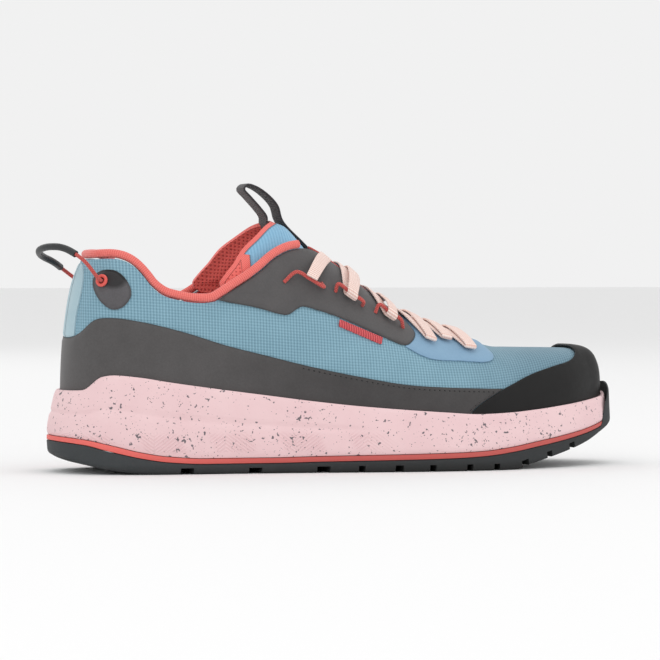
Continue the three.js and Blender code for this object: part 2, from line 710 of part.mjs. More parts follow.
const rollPath = Array.from({ length: 33 }, (_, i) => {
  const p = EDGE_RUN - (i / 16) * EDGE_RUN;
  return collarPoint((p + COUNT) % COUNT);
});
parts.collar_binding = tube(rollPath, BINDING / 2, 30);

// Tongue webbing: a strap down the middle that folds back into a pull loop.
const strapLine = [];
for (let x = WEBBING_FOOT; x > 0.4; x -= 0.04) {
  const depth = WEBBING.thick / 2 - WALL + 1.2 * GAP - sunk(x * LENGTH);
  strapLine.push(skin(crownTurn(x * LENGTH), 1, depth));
}
for (const [x, z] of PULL_LOOP) strapLine.push(new THREE.Vector3(x * LENGTH, 0, z * HEEL));
const strapCurve = new THREE.CatmullRomCurve3(
  strapLine.map((point) => new THREE.Vector3(point.x, 0, point.z)),
  false,
  'centripetal',
);
const strapSides = [[], []];
for (let i = 0; i <= 20; i += 1) {
  const here = strapCurve.getPointAt(i / 20);
  const along = strapCurve.getTangentAt(i / 20);
  const side = new THREE.Vector3(-along.z, 0, along.x).multiplyScalar(WEBBING.thick / 2);
  strapSides[0].push([here.x + side.x, here.z + side.z]);
  strapSides[1].push([here.x - side.x, here.z - side.z]);
}
const strapMiddle = SECTIONS[7].spineY * BALL;
parts.tongue_webbing = sidePrism(
  [...strapSides[0], ...strapSides[1].reverse()],
  strapMiddle - WEBBING.width / 2,
  strapMiddle + WEBBING.width / 2,
);

// Heights over the last at which lace and loops pass each other.
const UNDER = GAP + OVERLAY + 3.4 * GAP + LACE.thick / 2;
const ROUND_CORD = UNDER + LACE.thick / 2 + 2 * GAP + CORD / 2;
const OVER_CORD = 2 * ROUND_CORD - UNDER;
const OVER_LACE = UNDER + LACE.thick + GAP;
const TOP_UNDER = 1.5 - SINK; // over the webbing, in the middle

// Height of the lower layer of the lace: on the eyestay at the sides and down
// on the tongue between them.
function layer(point, over, lift) {
  const x = point.x / LENGTH;
  let i = 0;
  while (i < THROAT.length - 2 && THROAT[i + 1][0] < x) i += 1;
  const share = (x - THROAT[i][0]) / (THROAT[i + 1][0] - THROAT[i][0]);
  const half = BALL * THREE.MathUtils.lerp(THROAT[i][1], THROAT[i + 1][1], share);
  const off = Math.abs(point.y - atTurn(spineCurve, crownTurn(point.x)).y);
  const low = THREE.MathUtils.smoothstep(off, 0.40 * half, 0.84 * half);
  const under = THREE.MathUtils.lerp(TOP_UNDER, UNDER, x > THROAT_END ? 1 : low);
  if (!over) return under;
  return under + LACE.thick + GAP + lift * (OVER_CORD - OVER_LACE);
}

// Corners of the lace at a spot of the last: its two edges, near and far face.
function laceRow(p, v, heightAt) {
  const span = lastPoint(p + 0.05, v).distanceTo(lastPoint(p - 0.05, v)) / 0.1;
  const half = LACE.width / 2 / span;
  const edge = (turn, face) => {
    const height = heightAt(lastPoint(turn, v));
    return skin(turn, v, height + (face * LACE.thick) / 2);
  };
  return [edge(p - half, -1), edge(p + half, -1), edge(p + half, 1), edge(p - half, 1)];
}

// Run of lace across the top from one turn to the next.
function laceRun(from, to, crown, side, count, over) {
  const starts = sideSpot(from.x * LENGTH, from.z * HEEL, side);
  const ends = sideSpot(to.x * LENGTH, to.z * HEEL, -side);
  const ridge = crownTurn(crown * LENGTH);
  const rows = [];
  for (let i = 0; i <= count; i += 1) {
    const share = (2 * i) / count;
    const first = share <= 1;
    const spot = first ? starts : ends;
    const t = first ? share : 2 - share;
    const flank = first ? side : -side;
    const p = THREE.MathUtils.lerp(spot.p, flank < 0 ? ridge : COUNT - ridge, t);
    const v = THREE.MathUtils.lerp(spot.v, 1, t);
    const lift = (first ? from : to).cord ? 1 - THREE.MathUtils.smoothstep(t, 0.1, 0.4) : 0;
    const corners = laceRow(p, v, (point) => layer(point, over, lift));
    rows.push(laceOrder(corners, flank, over));
  }
  return rows;
}

// Corners in one order all along the lace: heelward edge first, inside first.
function laceOrder([a, b, c, d], flank, over) {
  const edges = flank < 0 ? [a, b, c, d] : [b, a, d, c];
  return over ? edges : [edges[3], edges[2], edges[1], edges[0]];
}

// Turn of the lace between its two layers at the side of the throat.
function laceTurn(place, side, downwards) {
  const spot = sideSpot(place.x * LENGTH, place.z * HEEL, side);
  const high = place.cord ? OVER_CORD : OVER_LACE;
  const radius = (high - UNDER) / 2;
  const span = lastPoint(spot.p + 0.05, spot.v).distanceTo(lastPoint(spot.p - 0.05, spot.v)) / 0.1;
  const half = LACE.width / 2 / span;
  const rows = [];
  for (const degrees of [50, 0, -50]) {
    const angle = THREE.MathUtils.degToRad(downwards ? degrees : -degrees);
    const edge = (turn, face) => {
      const normal = lastNormal(turn, spot.v);
      const down = lastPoint(turn, spot.v - 0.02).sub(lastPoint(turn, spot.v)).normalize();
      const reach = normal.multiplyScalar(Math.sin(angle)).addScaledVector(down, Math.cos(angle));
      return skin(turn, spot.v, UNDER + radius)
        .addScaledVector(reach, radius + (face * LACE.thick) / 2);
    };
    const [p, q] = side < 0 ? [spot.p - half, spot.p + half] : [spot.p + half, spot.p - half];
    rows.push([edge(p, -1), edge(q, -1), edge(q, 1), edge(p, 1)]);
  }
  return rows;
}

const laceRows = [];
BARS.forEach((place, i) => {
  const next = BARS[i + 1];
  laceRows.push(...laceRun(place, place, place.crown, -1, 10, true));
  if (next === undefined) return;
  laceRows.push(...laceTurn(place, 1, true));
  const crossing = (place.crown + next.crown) / 2;
  laceRows.push(...laceRun(place, next, crossing, 1, 8, false));
  laceRows.push(...laceTurn(next, -1, false));
});
parts.lace = bar(laceRows);

// Lace loops: cord from slot to slot, its tip held inside the turn of the lace.
for (const [name, side] of [['lateral', -1], ['medial', 1]]) {
  LOOPS.forEach(({ back, tip, front }, i) => {
    const at = ([x, z], offset) => sidePoint(x * LENGTH, z * HEEL, side, offset);
    const spot = sideSpot(tip[0] * LENGTH, tip[1] * HEEL, side);
    const flat = side < 0 ? 0.24 : -0.24;
    const points = [
      at(back, 1.2),
      skin(spot.p - flat, spot.v, ROUND_CORD),
      skin(spot.p, spot.v, ROUND_CORD),
      skin(spot.p + flat, spot.v, ROUND_CORD),
      at(front, 1.2),
    ];
    parts[`lace_loop_${name}_${i + 1}`] = tube(points, CORD / 2, 9, 6);
    const slot = tube(points, CORD / 2 + 1.5 * GAP, 9, 6);
    parts[`eyestay_${name}`] = parts[`eyestay_${name}`].subtract(slot);
  });

  // Ring on the heel patch that the heel cord comes out of.
  const spot = sideSpot(GUIDE.x * LENGTH, GUIDE.z * HEEL, side);
  const ringShape = new THREE.TorusGeometry(GUIDE.radius, GUIDE.thick, 6, 10);
  const turn = new THREE.Quaternion().setFromUnitVectors(
    new THREE.Vector3(0, 0, 1),
    lastNormal(spot.p, spot.v),
  );
  ringShape.applyQuaternion(turn);
  const seatPoint = skin(spot.p, spot.v, 2 * GAP + OVERLAY + GUIDE.thick);
  ringShape.translate(seatPoint.x, seatPoint.y, seatPoint.z);
  parts[`heel_cord_guide_${name}`] = fromGeometry(ringShape);
}

// Heel cord and its sleeve.
const cordEnd = (side, offset) => sidePoint(GUIDE.x * LENGTH, GUIDE.z * HEEL, side, offset);
const cordPath = [
  cordEnd(-1, 2 * GAP + OVERLAY),
  cordEnd(-1, 5),
  ...HEEL_CORD.map(([x, y, z]) => new THREE.Vector3(x * LENGTH, y * BALL, z * HEEL)),
  cordEnd(1, 5),
  cordEnd(1, 2 * GAP + OVERLAY),
];
const cordCurve = new THREE.CatmullRomCurve3(cordPath, false, 'centripetal');
parts.heel_cord = tube(cordPath, CORD / 2, 20);
const sleevePath = Array.from({ length: 9 }, (_, i) => (
  cordCurve.getPoint(THREE.MathUtils.lerp(...SLEEVE_RUN, i / 8))
));
parts.heel_cord_sleeve = tube(sleevePath, SLEEVE / 2, 9, 8, CORD / 2 + 1.6 * GAP);

// Finished group, its origin under the middle of the sole.
const LOOKS = {
  upper: [0x7aa3b5, 0.85],
  outsole: [0x2c2f30, 0.8],
  sole_trim_layer: [0xe8665f, 0.7],
  midsole: [0xebc5c6, 0.75],
  insole: [0xd9534f, 0.95],
  mudguard: [0x4c4a4a, 0.7],
  toe_cap: [0x2e2d2d, 0.5],
  heel_strip: [0xa5c0ca, 0.75],
  vamp_patch: [0x6f9cc0, 0.7],
  eyestay_lateral: [0x4c4a4a, 0.75],
  eyestay_medial: [0x4c4a4a, 0.75],
  side_tag_lateral: [0xd9646a, 0.8],
  side_tag_medial: [0xd9646a, 0.8],
  heel_patch_lateral: [0x5a585a, 0.8],
  heel_patch_medial: [0x5a585a, 0.8],
  tongue: [0x7eafd0, 0.85],
  collar_binding: [0xf0706a, 0.85],
  tongue_webbing: [0x2b2a2b, 0.8],
  lace: [0xf2c6b8, 0.85],
  lace_loop: [0xd85850, 0.8],
  heel_cord: [0xd85850, 0.8],
  heel_cord_guide: [0xe0584f, 0.6],
  heel_cord_sleeve: [0x2a2c2e, 0.5],
};

function toMesh(name, body) {
  const kind = name in LOOKS ? name : name.replace(/_(lateral|medial).*/, '');
  const [color, roughness] = LOOKS[kind];
  const data = body.getMesh();
  const geometry = new THREE.BufferGeometry();
  geometry.setAttribute('position', new THREE.BufferAttribute(data.vertProperties, 3));
  geometry.setIndex(new THREE.BufferAttribute(data.triVerts, 1));
  geometry.computeVertexNormals();
  const mesh = new THREE.Mesh(
    geometry,
    new THREE.MeshStandardMaterial({ color, roughness, metalness: 0 }),
  );
  mesh.name = name;
  return mesh;
}

const shoe = new THREE.Group();
shoe.name = 'approach_shoe';
for (const [name, body] of Object.entries(parts)) {
  const middle = body.translate(-LENGTH / 2, 0, 0);
  shoe.add(toMesh(name, middle));
}

export default shoe;
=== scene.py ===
# Approach shoe, right foot. Metres, +X toe, +Y medial side, +Z up.
import math

import bpy
import numpy as np
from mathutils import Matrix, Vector


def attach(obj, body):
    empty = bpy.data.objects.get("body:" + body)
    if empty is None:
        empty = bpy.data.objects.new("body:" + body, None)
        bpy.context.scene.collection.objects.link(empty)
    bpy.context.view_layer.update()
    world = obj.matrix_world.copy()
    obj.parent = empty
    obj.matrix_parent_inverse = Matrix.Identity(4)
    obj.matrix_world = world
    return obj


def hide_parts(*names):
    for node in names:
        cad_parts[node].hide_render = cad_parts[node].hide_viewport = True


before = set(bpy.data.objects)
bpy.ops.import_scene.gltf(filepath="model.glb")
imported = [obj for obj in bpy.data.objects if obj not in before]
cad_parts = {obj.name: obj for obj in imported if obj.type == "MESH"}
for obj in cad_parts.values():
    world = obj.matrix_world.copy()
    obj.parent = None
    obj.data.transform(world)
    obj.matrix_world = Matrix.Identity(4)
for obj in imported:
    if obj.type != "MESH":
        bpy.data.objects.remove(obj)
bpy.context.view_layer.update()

# Studio
# A wide pale floor under the shoe, large soft lamps over and before it, and a
# long lens that looks at the lateral side, a little from the heel.
bpy.ops.mesh.primitive_plane_add(size=30, location=(0, 0, 0))
floor = bpy.context.object
floor.name = "floor"
paper = bpy.data.materials.new("pale floor")
paper.use_nodes = True
pale = paper.node_tree.nodes["Principled BSDF"].inputs
pale["Base Color"].default_value = (0.88, 0.88, 0.88, 1)
pale["Roughness"].default_value = 0.9
floor.data.materials.append(paper)

sky = bpy.data.worlds.new("studio air")
sky.use_nodes = True
air = sky.node_tree.nodes["Background"].inputs
air["Color"].default_value = (1, 1, 1, 1)
air["Strength"].default_value = 0.88
bpy.context.scene.world = sky
bpy.context.scene.view_settings.view_transform = "Standard"


def lamp(name, place, size, power):
    bpy.ops.object.light_add(type="AREA", location=place)
    light = bpy.context.object
    light.name = name
    light.data.shape = "DISK"
    light.data.size = size
    light.data.energy = power
    shoe = Vector((-place[0], -place[1], 0.06 - place[2]))
    light.rotation_euler = shoe.to_track_quat("-Z", "Y").to_euler()


lamp("top_lamp", (0.1, -0.5, 2.2), 1.8, 7)
lamp("front_lamp", (-1.1, -1.9, 1.1), 1.4, 6)
lamp("side_lamp", (1.6, -0.8, 0.9), 1.1, 2)
lamp("back_lamp", (-0.3, 1.9, 1.3), 1.6, 4)

AZIMUTH, ELEVATION, DISTANCE = math.radians(-17), math.radians(1.0), 1.7
aim = Vector((-0.004, 0, 0.066))
toward = Vector((
    math.sin(AZIMUTH) * math.cos(ELEVATION),
    -math.cos(AZIMUTH) * math.cos(ELEVATION),
    math.sin(ELEVATION),
))
bpy.ops.object.camera_add(location=aim + toward * DISTANCE)
camera = bpy.context.object
camera.rotation_euler = toward.to_track_quat("Z", "Y").to_euler()
camera.data.lens = 193
camera.data.sensor_width = 36
bpy.context.scene.camera = camera

# Heel cord
# A thin braided cord of coral polyester that comes out of both heel patches and
# stands behind the collar as a pull loop, in a black sleeve at its middle.
MM = 0.001
CORD, SLEEVE, SLEEVE_WALL = 1.8, 3.3, 0.6
SLEEVE_SPAN = (0.24, 0.76)
# x, y, z in mm, from the lateral guide round the heel to the medial one
CORD_ROUTE = [
    (-121.16, -21.22, 89.82), (-123.31, -23.74, 90.58), (-130.92, -24.50, 99.43),
    (-138.31, -16.50, 105.00), (-143.99, -9.00, 105.63), (-146.26, 0.00, 104.16),
    (-143.42, 9.00, 101.64), (-135.75, 16.50, 98.49), (-128.65, 24.50, 94.50),
    (-123.31, 23.74, 90.58), (-121.16, 21.22, 89.82),
]


class Rail:
    """Smooth curve through points, one unit of turn from point to point."""

    def __init__(self, points, closed=False):
        self.points = np.array(points, float)
        self.closed = closed
        self.size = len(points) if closed else len(points) - 1
        if not closed:
            ends = 2 * self.points[[0, -1]] - self.points[[1, -2]]
            self.points = np.vstack([ends[:1], self.points, ends[1:]])

    def at(self, turn):
        turn = np.asarray(turn, float)
        if self.closed:
            k = np.floor(turn).astype(int)
            picks = [(k + i) % self.size for i in (-1, 0, 1, 2)]
        else:
            turn = np.clip(turn, 0, self.size)
            k = np.minimum(np.floor(turn).astype(int), self.size - 1)
            picks = [k + i for i in range(4)]
        t = (turn - k)[..., None]
        a, b, c, d = (self.points[pick] for pick in picks)
        before, here, after = (
            np.sum((e - f) ** 2, -1, keepdims=True) ** 0.25 for e, f in ((a, b), (b, c), (c, d))
        )
        here = np.where(here < 1e-4, 1, here)
        before = np.where(before < 1e-4, here, before)
        after = np.where(after < 1e-4, here, after)
        m = ((b - a) / before - (c - a) / (before + here) + (c - b) / here) * here
        n = ((c - b) / here - (d - b) / (here + after) + (d - c) / after) * here
        return b + t * m + t**2 * (3 * c - 3 * b - 2 * m - n) + t**3 * (2 * b - 2 * c + m + n)

    def along(self, steps):
        return self.at(np.linspace(0, self.size, steps + 1))


def coordinates(mesh):
    values = np.empty(len(mesh.vertices) * 3)
    mesh.vertices.foreach_get("co", values)
    return values.reshape(-1, 3)


def grid_piece(name, along, around, place, cuts=(), close=False, merge=0.01):
    """Grid bent into shape by place(u, w, edge), in mm, after its cuts."""
    bpy.ops.mesh.primitive_grid_add(x_subdivisions=along, y_subdivisions=around, size=2)
    piece = bpy.context.object
    piece.name = name
    mesh = piece.data
    mesh.name = name

    def spots():
        values = coordinates(mesh)
        return values, (values[:, 0] + 1) / 2, (values[:, 1] + 1) / 2

    for cut in cuts:
        values, u, w = spots()
        values[:, 2] = cut(u, w)
        mesh.vertices.foreach_set("co", values.ravel())
        bpy.ops.object.mode_set(mode="EDIT")
        bpy.ops.mesh.select_all(action="SELECT")
        bpy.ops.mesh.bisect(plane_co=(0, 0, 0), plane_no=(0, 0, 1), clear_outer=True)
        bpy.ops.object.mode_set(mode="OBJECT")
    values, u, w = spots()
    edge = -np.max([cut(u, w) for cut in cuts], axis=0) if cuts else np.full(len(u), 99.0)
    points, flat = place(u, w, edge)
    mesh.vertices.foreach_set("co", (points * MM).ravel())
    corners = np.empty(len(mesh.loops), int)
    mesh.loops.foreach_get("vertex_index", corners)
    mesh.uv_layers[0].data.foreach_set("uv", flat[corners].ravel())
    mesh.attributes.new("edge", "FLOAT", "POINT").data.foreach_set("value", edge)
    mesh.update()
    bpy.ops.object.mode_set(mode="EDIT")
    bpy.ops.mesh.select_all(action="SELECT")
    bpy.ops.mesh.remove_doubles(threshold=merge * MM)
    if close:
        bpy.ops.mesh.select_all(action="SELECT")
        bpy.ops.mesh.fill_holes(sides=0)
    bpy.ops.object.mode_set(mode="OBJECT")
    return piece


def rows_piece(name, rows, close=True):
    """Skin over rows of points that all run round the piece the same way."""
    rows = np.array(rows)
    rings, size = rows.shape[0] - 1, rows.shape[1]
    looped = np.concatenate([rows, rows[:, :1]], axis=1)
    middle = rows.mean(axis=1)
    run = np.concatenate([[0], np.cumsum(np.linalg.norm(np.diff(middle, axis=0), axis=1))])
    around = np.linalg.norm(np.diff(looped, axis=1), axis=2)
    girth = np.concatenate([np.zeros((rings + 1, 1)), np.cumsum(around, axis=1)], axis=1)

    def place(u, w, edge):
        i = np.rint(u * rings).astype(int)
        j = np.rint(w * size).astype(int)
        return looped[i, j], np.stack([run[i], girth[i, j]], axis=1)

    return grid_piece(name, rings, size, place, close=close, merge=0.002)


def unit(ways):
    """The same directions, each of length 1."""
    return ways / np.maximum(np.linalg.norm(ways, axis=-1, keepdims=True), 1e-9)


def tube(name, points, radius, steps, sides=14, close=True):
    """Round tube along a smooth curve through points."""
    line = Rail(points).along(steps)
    ahead = unit(np.gradient(line, axis=0))
    side = np.cross(ahead[0], (0, 0, 1) if abs(ahead[0][2]) < 0.9 else (1, 0, 0))
    rows = []
    for here, way in zip(line, ahead):
        side = unit(side - way * side.dot(way))
        up = np.cross(way, side)
        turns = -np.arange(sides) * 2 * math.pi / sides
        rows.append(here + radius * (np.outer(np.cos(turns), side) + np.outer(np.sin(turns), up)))
    return rows_piece(name, rows, close)


def dye(code):
    """Linear colour of a web colour."""
    channels = [int(code[i:i + 2], 16) / 255 for i in (1, 3, 5)]
    return [c / 12.92 if c < 0.04045 else ((c + 0.055) / 1.055) ** 2.4 for c in channels] + [1.0]


def math_node(operation):
    """Operator between values that adds a math node."""
    return lambda value, other: value.math(operation, other)


class Value:
    """A number, colour or direction on its way through a finish."""

    __add__ = __radd__ = math_node("ADD")
    __mul__ = __rmul__ = math_node("MULTIPLY")
    __sub__ = math_node("SUBTRACT")
    __pow__ = math_node("POWER")
    __mod__ = math_node("FLOORED_MODULO")
    __lt__ = math_node("LESS_THAN")
    __gt__ = math_node("GREATER_THAN")

    def __init__(self, finish, socket):
        self.finish = finish
        self.socket = socket

    def __rsub__(self, other):
        return self * -1 + other

    def math(self, operation, *rest):
        return self.finish.node("ShaderNodeMath", {"operation": operation}, [self, *rest])


class Finish:
    """Material of one kind of surface, with its nodes made as they are used."""

    def __init__(self, name, constants):
        self.material = bpy.data.materials.new(name)
        self.material.use_nodes = True
        self.tree = self.material.node_tree
        self.shader = self.tree.nodes["Principled BSDF"]
        self.give(constants)

    def give(self, values):
        for key, value in values.items():
            self.join(value, self.shader.inputs[key])
        return self

    def join(self, value, socket):
        if isinstance(value, Value):
            self.tree.links.new(value.socket, socket)
        else:
            socket.default_value = dye(value) if isinstance(value, str) else value

    def node(self, kind, settings, inputs=(), output=0):
        node = self.tree.nodes.new(kind)
        for key, value in settings.items():
            setattr(node, key, value)
        pairs = inputs.items() if isinstance(inputs, dict) else enumerate(inputs)
        for key, value in pairs:
            self.join(value, node.inputs[key])
        return Value(self, node.outputs[output])

    def parts(self, vector, count):
        return [self.node("ShaderNodeSeparateXYZ", {}, [vector], k) for k in range(count)]

    def flat(self):
        """Place on the piece's own pattern, in mm along and across."""
        return self.parts(self.node("ShaderNodeUVMap", {"uv_map": "UVMap"}), 2)

    def spot(self):
        """Place in the shoe, in mm."""
        spot = self.node("ShaderNodeTexCoord", {}, (), "Object")
        return self.node("ShaderNodeVectorMath", {"operation": "SCALE"}, {0: spot, "Scale": 1000})

    def place(self):
        return self.parts(self.spot(), 3)

    def edge(self):
        """Distance from the cut edge of the piece, in mm."""
        return self.node("ShaderNodeAttribute", {"attribute_name": "edge"}, (), "Fac")

    def noise(self, size, detail=3.0, where=None):
        """Cloudy value from 0 to 1, with clouds of a size in mm."""
        where = where or self.spot()
        return self.node(
            "ShaderNodeTexNoise", {}, {"Vector": where, "Scale": 1 / size, "Detail": detail}
        )

    def wave(self, value, pitch):
        """Even ridges from 0 to 1."""
        return (value * (2 * math.pi / pitch)).math("SINE") * 0.5 + 0.5

    def ramp(self, value, low, high):
        """0 below low, 1 above high."""
        return self.node("ShaderNodeMapRange", {}, [value, low, high])

    def blend(self, mask, one, other):
        return self.node("ShaderNodeMix", {"data_type": "RGBA"}, {0: mask, 6: one, 7: other}, 2)

    def bump(self, height, depth):
        """Relief of a depth in mm."""
        return self.node("ShaderNodeBump", {}, {"Height": height, "Distance": depth * MM})

    def coat(self, color, height, depth):
        """Give the surface a colour and a relief."""
        return self.give({"Base Color": color, "Normal": self.bump(height, depth)})


def alone(piece):
    """Select one piece and nothing else."""
    bpy.ops.object.select_all(action="DESELECT")
    piece.select_set(True)
    bpy.context.view_layer.objects.active = piece


def joined(pieces):
    """Make one piece of several."""
    alone(pieces[-1])
    for piece in pieces:
        piece.select_set(True)
    bpy.ops.object.join()
    return bpy.context.object


def fit(piece, finish, nodes, angle=40):
    """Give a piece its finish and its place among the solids."""
    sides = piece.data.materials
    for spot, one in enumerate(finish if isinstance(finish, list) else [finish]):
        if spot < len(sides):
            sides[spot] = one.material
        else:
            sides.append(one.material)
    alone(piece)
    bpy.ops.object.shade_smooth_by_angle(angle=math.radians(angle))
    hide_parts(*nodes)
    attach(piece, "root")
    return piece


braid = Finish("coral braid", {"Roughness": 0.75, "Sheen Weight": 0.15})
run, girth = braid.flat()
strands = braid.wave(run + girth * 1.1, 1.3) * braid.wave(run - girth * 1.1, 1.3)
braid.coat(braid.blend(strands, "#B4433D", "#EA6E66"), strands, 0.25)
heel_cord = tube("heel_cord_line", CORD_ROUTE, CORD / 2, 120)
fit(heel_cord, braid, ["heel_cord"])

shrink = Finish("black sleeve", {"Roughness": 0.42})
run, girth = shrink.flat()
shrink.coat(
    shrink.blend(shrink.noise(6), "#222425", "#303234"),
    shrink.noise(1.2) + shrink.wave(run, 9) * 0.4, 0.12,
)
inner = Rail(CORD_ROUTE).at(np.linspace(*SLEEVE_SPAN, 13) * (len(CORD_ROUTE) - 1))
heel_sleeve = tube("heel_cord_cover", inner, SLEEVE / 2, 60, 20, close=False)
alone(heel_sleeve)
wall = heel_sleeve.modifiers.new("wall", "SOLIDIFY")
wall.thickness = SLEEVE_WALL * MM
wall.offset = -1
bpy.ops.object.modifier_apply(modifier="wall")
fit(heel_sleeve, shrink, ["heel_cord_sleeve"])

# Upper
# One hollow shell of woven ripstop with a coral knit lining, pulled over the
# last, open at the collar, at the throat and underneath.
LENGTH, BALL, HEEL, INSTEP = 284, 100, 105, 123
GAP, WALL, PAD, OVERLAY = 0.3, 2.2, 2.0, 1.0
# x, lat, med, inset, spine x, spine y, spine z, square lat, square med, wrap
SECTIONS = [
    (0.000, 0.000, 0.000, 7.6, 0.192, 0.00, 1.040, 2.6, 2.6, 0),
    (0.012, 0.165, 0.165, 7.4, 0.196, 0.00, 1.050, 2.6, 2.6, 0),
    (0.049, 0.290, 0.290, 7.0, 0.205, 0.00, 1.060, 2.6, 2.6, 0),
    (0.112, 0.365, 0.365, 6.7, 0.225, 0.00, 1.065, 2.7, 2.7, 0),
    (0.195, 0.392, 0.385, 6.5, 0.255, 0.00, 1.070, 2.7, 2.7, 0),
    (0.293, 0.405, 0.370, 6.4, 0.315, 0.00, 1.060, 2.6, 2.6, 0),
    (0.390, 0.430, 0.352, 6.4, 0.393, 0.01, 0.980, 2.4, 2.5, 0),
    (0.481, 0.470, 0.380, 6.4, 0.481, 0.02, 0.812, 2.3, 2.4, 0),
    (0.564, 0.505, 0.445, 6.3, 0.564, 0.02, 0.648, 2.2, 2.4, 0),
    (0.641, 0.515, 0.490, 6.2, 0.641, 0.03, 0.556, 2.2, 2.4, 0),
    (0.718, 0.495, 0.510, 6.2, 0.714, 0.04, 0.506, 2.4, 2.6, 0),
    (0.787, 0.440, 0.505, 6.2, 0.770, 0.05, 0.470, 2.8, 2.9, 0),
    (0.850, 0.365, 0.480, 6.2, 0.812, 0.06, 0.465, 3.4, 3.4, 0),
    (0.906, 0.275, 0.430, 6.3, 0.842, 0.07, 0.463, 4.0, 4.0, 0),
    (0.951, 0.170, 0.360, 6.4, 0.862, 0.08, 0.462, 4.5, 4.5, 0.1),
    (0.985, 0.065, 0.265, 6.4, 0.872, 0.08, 0.461, 5.0, 5.0, 0.7),
    (1.000, -0.10, 0.100, 6.4, 0.875, 0.08, 0.461, 5.0, 5.0, 1),
]
# x, underside, top of outsole, top of trim, footbed, top edge of midsole
LEVELS = np.array([
    (0.000, 9.5, 15.0, 17.4, 27.5, 38.4), (0.040, 4.8, 13.4, 16.0, 27.0, 38.9),
    (0.068, 2.6, 11.2, 14.2, 26.5, 45.2), (0.085, 1.8, 10.0, 13.0, 26.2, 46.0),
    (0.125, 0.4, 7.4, 10.2, 25.5, 45.0), (0.170, 0, 5.5, 8.2, 24.6, 42.9),
    (0.230, 0, 4.6, 7.2, 23.4, 40.4), (0.340, 0, 4.6, 7.2, 21.0, 36.2),
    (0.420, 0, 5.0, 7.6, 19.2, 33.2), (0.500, 0, 5.3, 7.9, 17.8, 30.7),
    (0.640, 0, 5.9, 8.5, 16.8, 27.6), (0.700, 0, 6.6, 9.1, 16.9, 26.6),
    (0.760, 0, 8.4, 10.9, 17.9, 27.1), (0.800, 2.8, 10.2, 12.7, 19.0, 27.9),
    (0.850, 6.2, 12.4, 14.8, 20.9, 29.2), (0.915, 11.4, 15.8, 18.0, 23.8, 31.2),
    (0.965, 17.2, 19.4, 21.4, 26.0, 33.2), (1.000, 21.8, 23.4, 25.2, 28.0, 36.5),
])
FLOOR, RUBBER, TRIM, BED, RIM = 1, 2, 3, 4, 5
# x, height of the collar's edge in side view
COLLAR_LINE = [
    (-0.100, 0.945), (0.000, 0.946), (0.052, 0.948), (0.092, 0.954), (0.108, 0.945), (0.122, 0.922),
    (0.135, 0.884), (0.152, 0.824), (0.170, 0.789), (0.187, 0.774), (0.221, 0.758), (0.255, 0.764),
    (0.276, 0.800), (0.305, 0.846), (0.332, 0.893), (0.358, 0.948), (0.383, 0.983), (0.408, 0.997),
    (0.428, 0.993), (0.445, 0.985), (0.470, 1.060), (0.520, 1.300),
]
# x, half width of the throat seen from above
THROAT = np.array([
    (0.300, 0.260), (0.400, 0.215), (0.430, 0.190), (0.480, 0.160), (0.560, 0.125),
    (0.640, 0.095), (0.675, 0.075), (0.695, 0.040), (0.700, 0.015), (0.760, -0.120),
])
TURNS = 2 * (len(SECTIONS) - 1)


def ring_rail(triple):
    points = []
    for i in range(TURNS):
        lateral = i < len(SECTIONS)
        points.append(triple(SECTIONS[i if lateral else TURNS - i], lateral))
    return Rail(points, closed=True)


edge_rail = ring_rail(
    lambda row, lateral: (row[0] * LENGTH, (-row[1] if lateral else row[2]) * BALL, 0)
)
spine_rail = ring_rail(lambda row, lateral: (row[4] * LENGTH, row[5] * BALL, row[6] * INSTEP))
form_rail = ring_rail(lambda row, lateral: (row[3], row[7] if lateral else row[8], row[9]))


def level(column, x):
    """Height of one of the levels at a place along the shoe."""
    xs, zs = LEVELS[:, 0], LEVELS[:, column]
    s = np.clip(np.asarray(x, float) / LENGTH, 0, 1)
    climb = np.diff(zs) / np.diff(xs)
    before = np.concatenate([climb[:1], climb])
    after = np.concatenate([climb, climb[-1:]])
    both = np.where(before * after > 0, before + after, 1)
    slope = np.where(before * after > 0, 2 * before * after / both, 0)
    i = np.clip(np.searchsorted(xs, s) - 1, 0, len(xs) - 2)
    width = xs[i + 1] - xs[i]
    t = (s - xs[i]) / width
    rise = t * t * (3 - 2 * t)
    bend = t * (1 - t) * width * (slope[i] * (1 - t) - slope[i + 1] * t)
    return zs[i] * (1 - rise) + zs[i + 1] * rise + bend


def outline(p, inset):
    """Point of the sole's outline, moved inwards."""
    here = edge_rail.at(p)
    along = unit(edge_rail.at(np.asarray(p) + 0.02) - edge_rail.at(np.asarray(p) - 0.02))
    x = here[..., 0] - along[..., 1] * inset
    y = here[..., 1] + along[..., 0] * inset
    return np.stack([x, y, np.zeros_like(x)], axis=-1)


def last(p, v):
    """Point of the last: p runs round the foot, v from footbed to top line."""
    form = form_rail.at(p)
    spine = spine_rail.at(p)
    base = outline(p, form[..., 0])
    base[..., 2] = level(BED, base[..., 0]) + GAP
    n = form[..., 1]
    phi = np.asarray(v) * math.pi / 2
    cos, sin = np.maximum(np.cos(phi), 0), np.sin(phi)
    reach = (cos**n + sin**n) ** (-1 / n)
    across, up = 1 - reach * cos, reach * sin
    share = np.stack([across, across, up], axis=-1)
    return base + (spine - base) * share


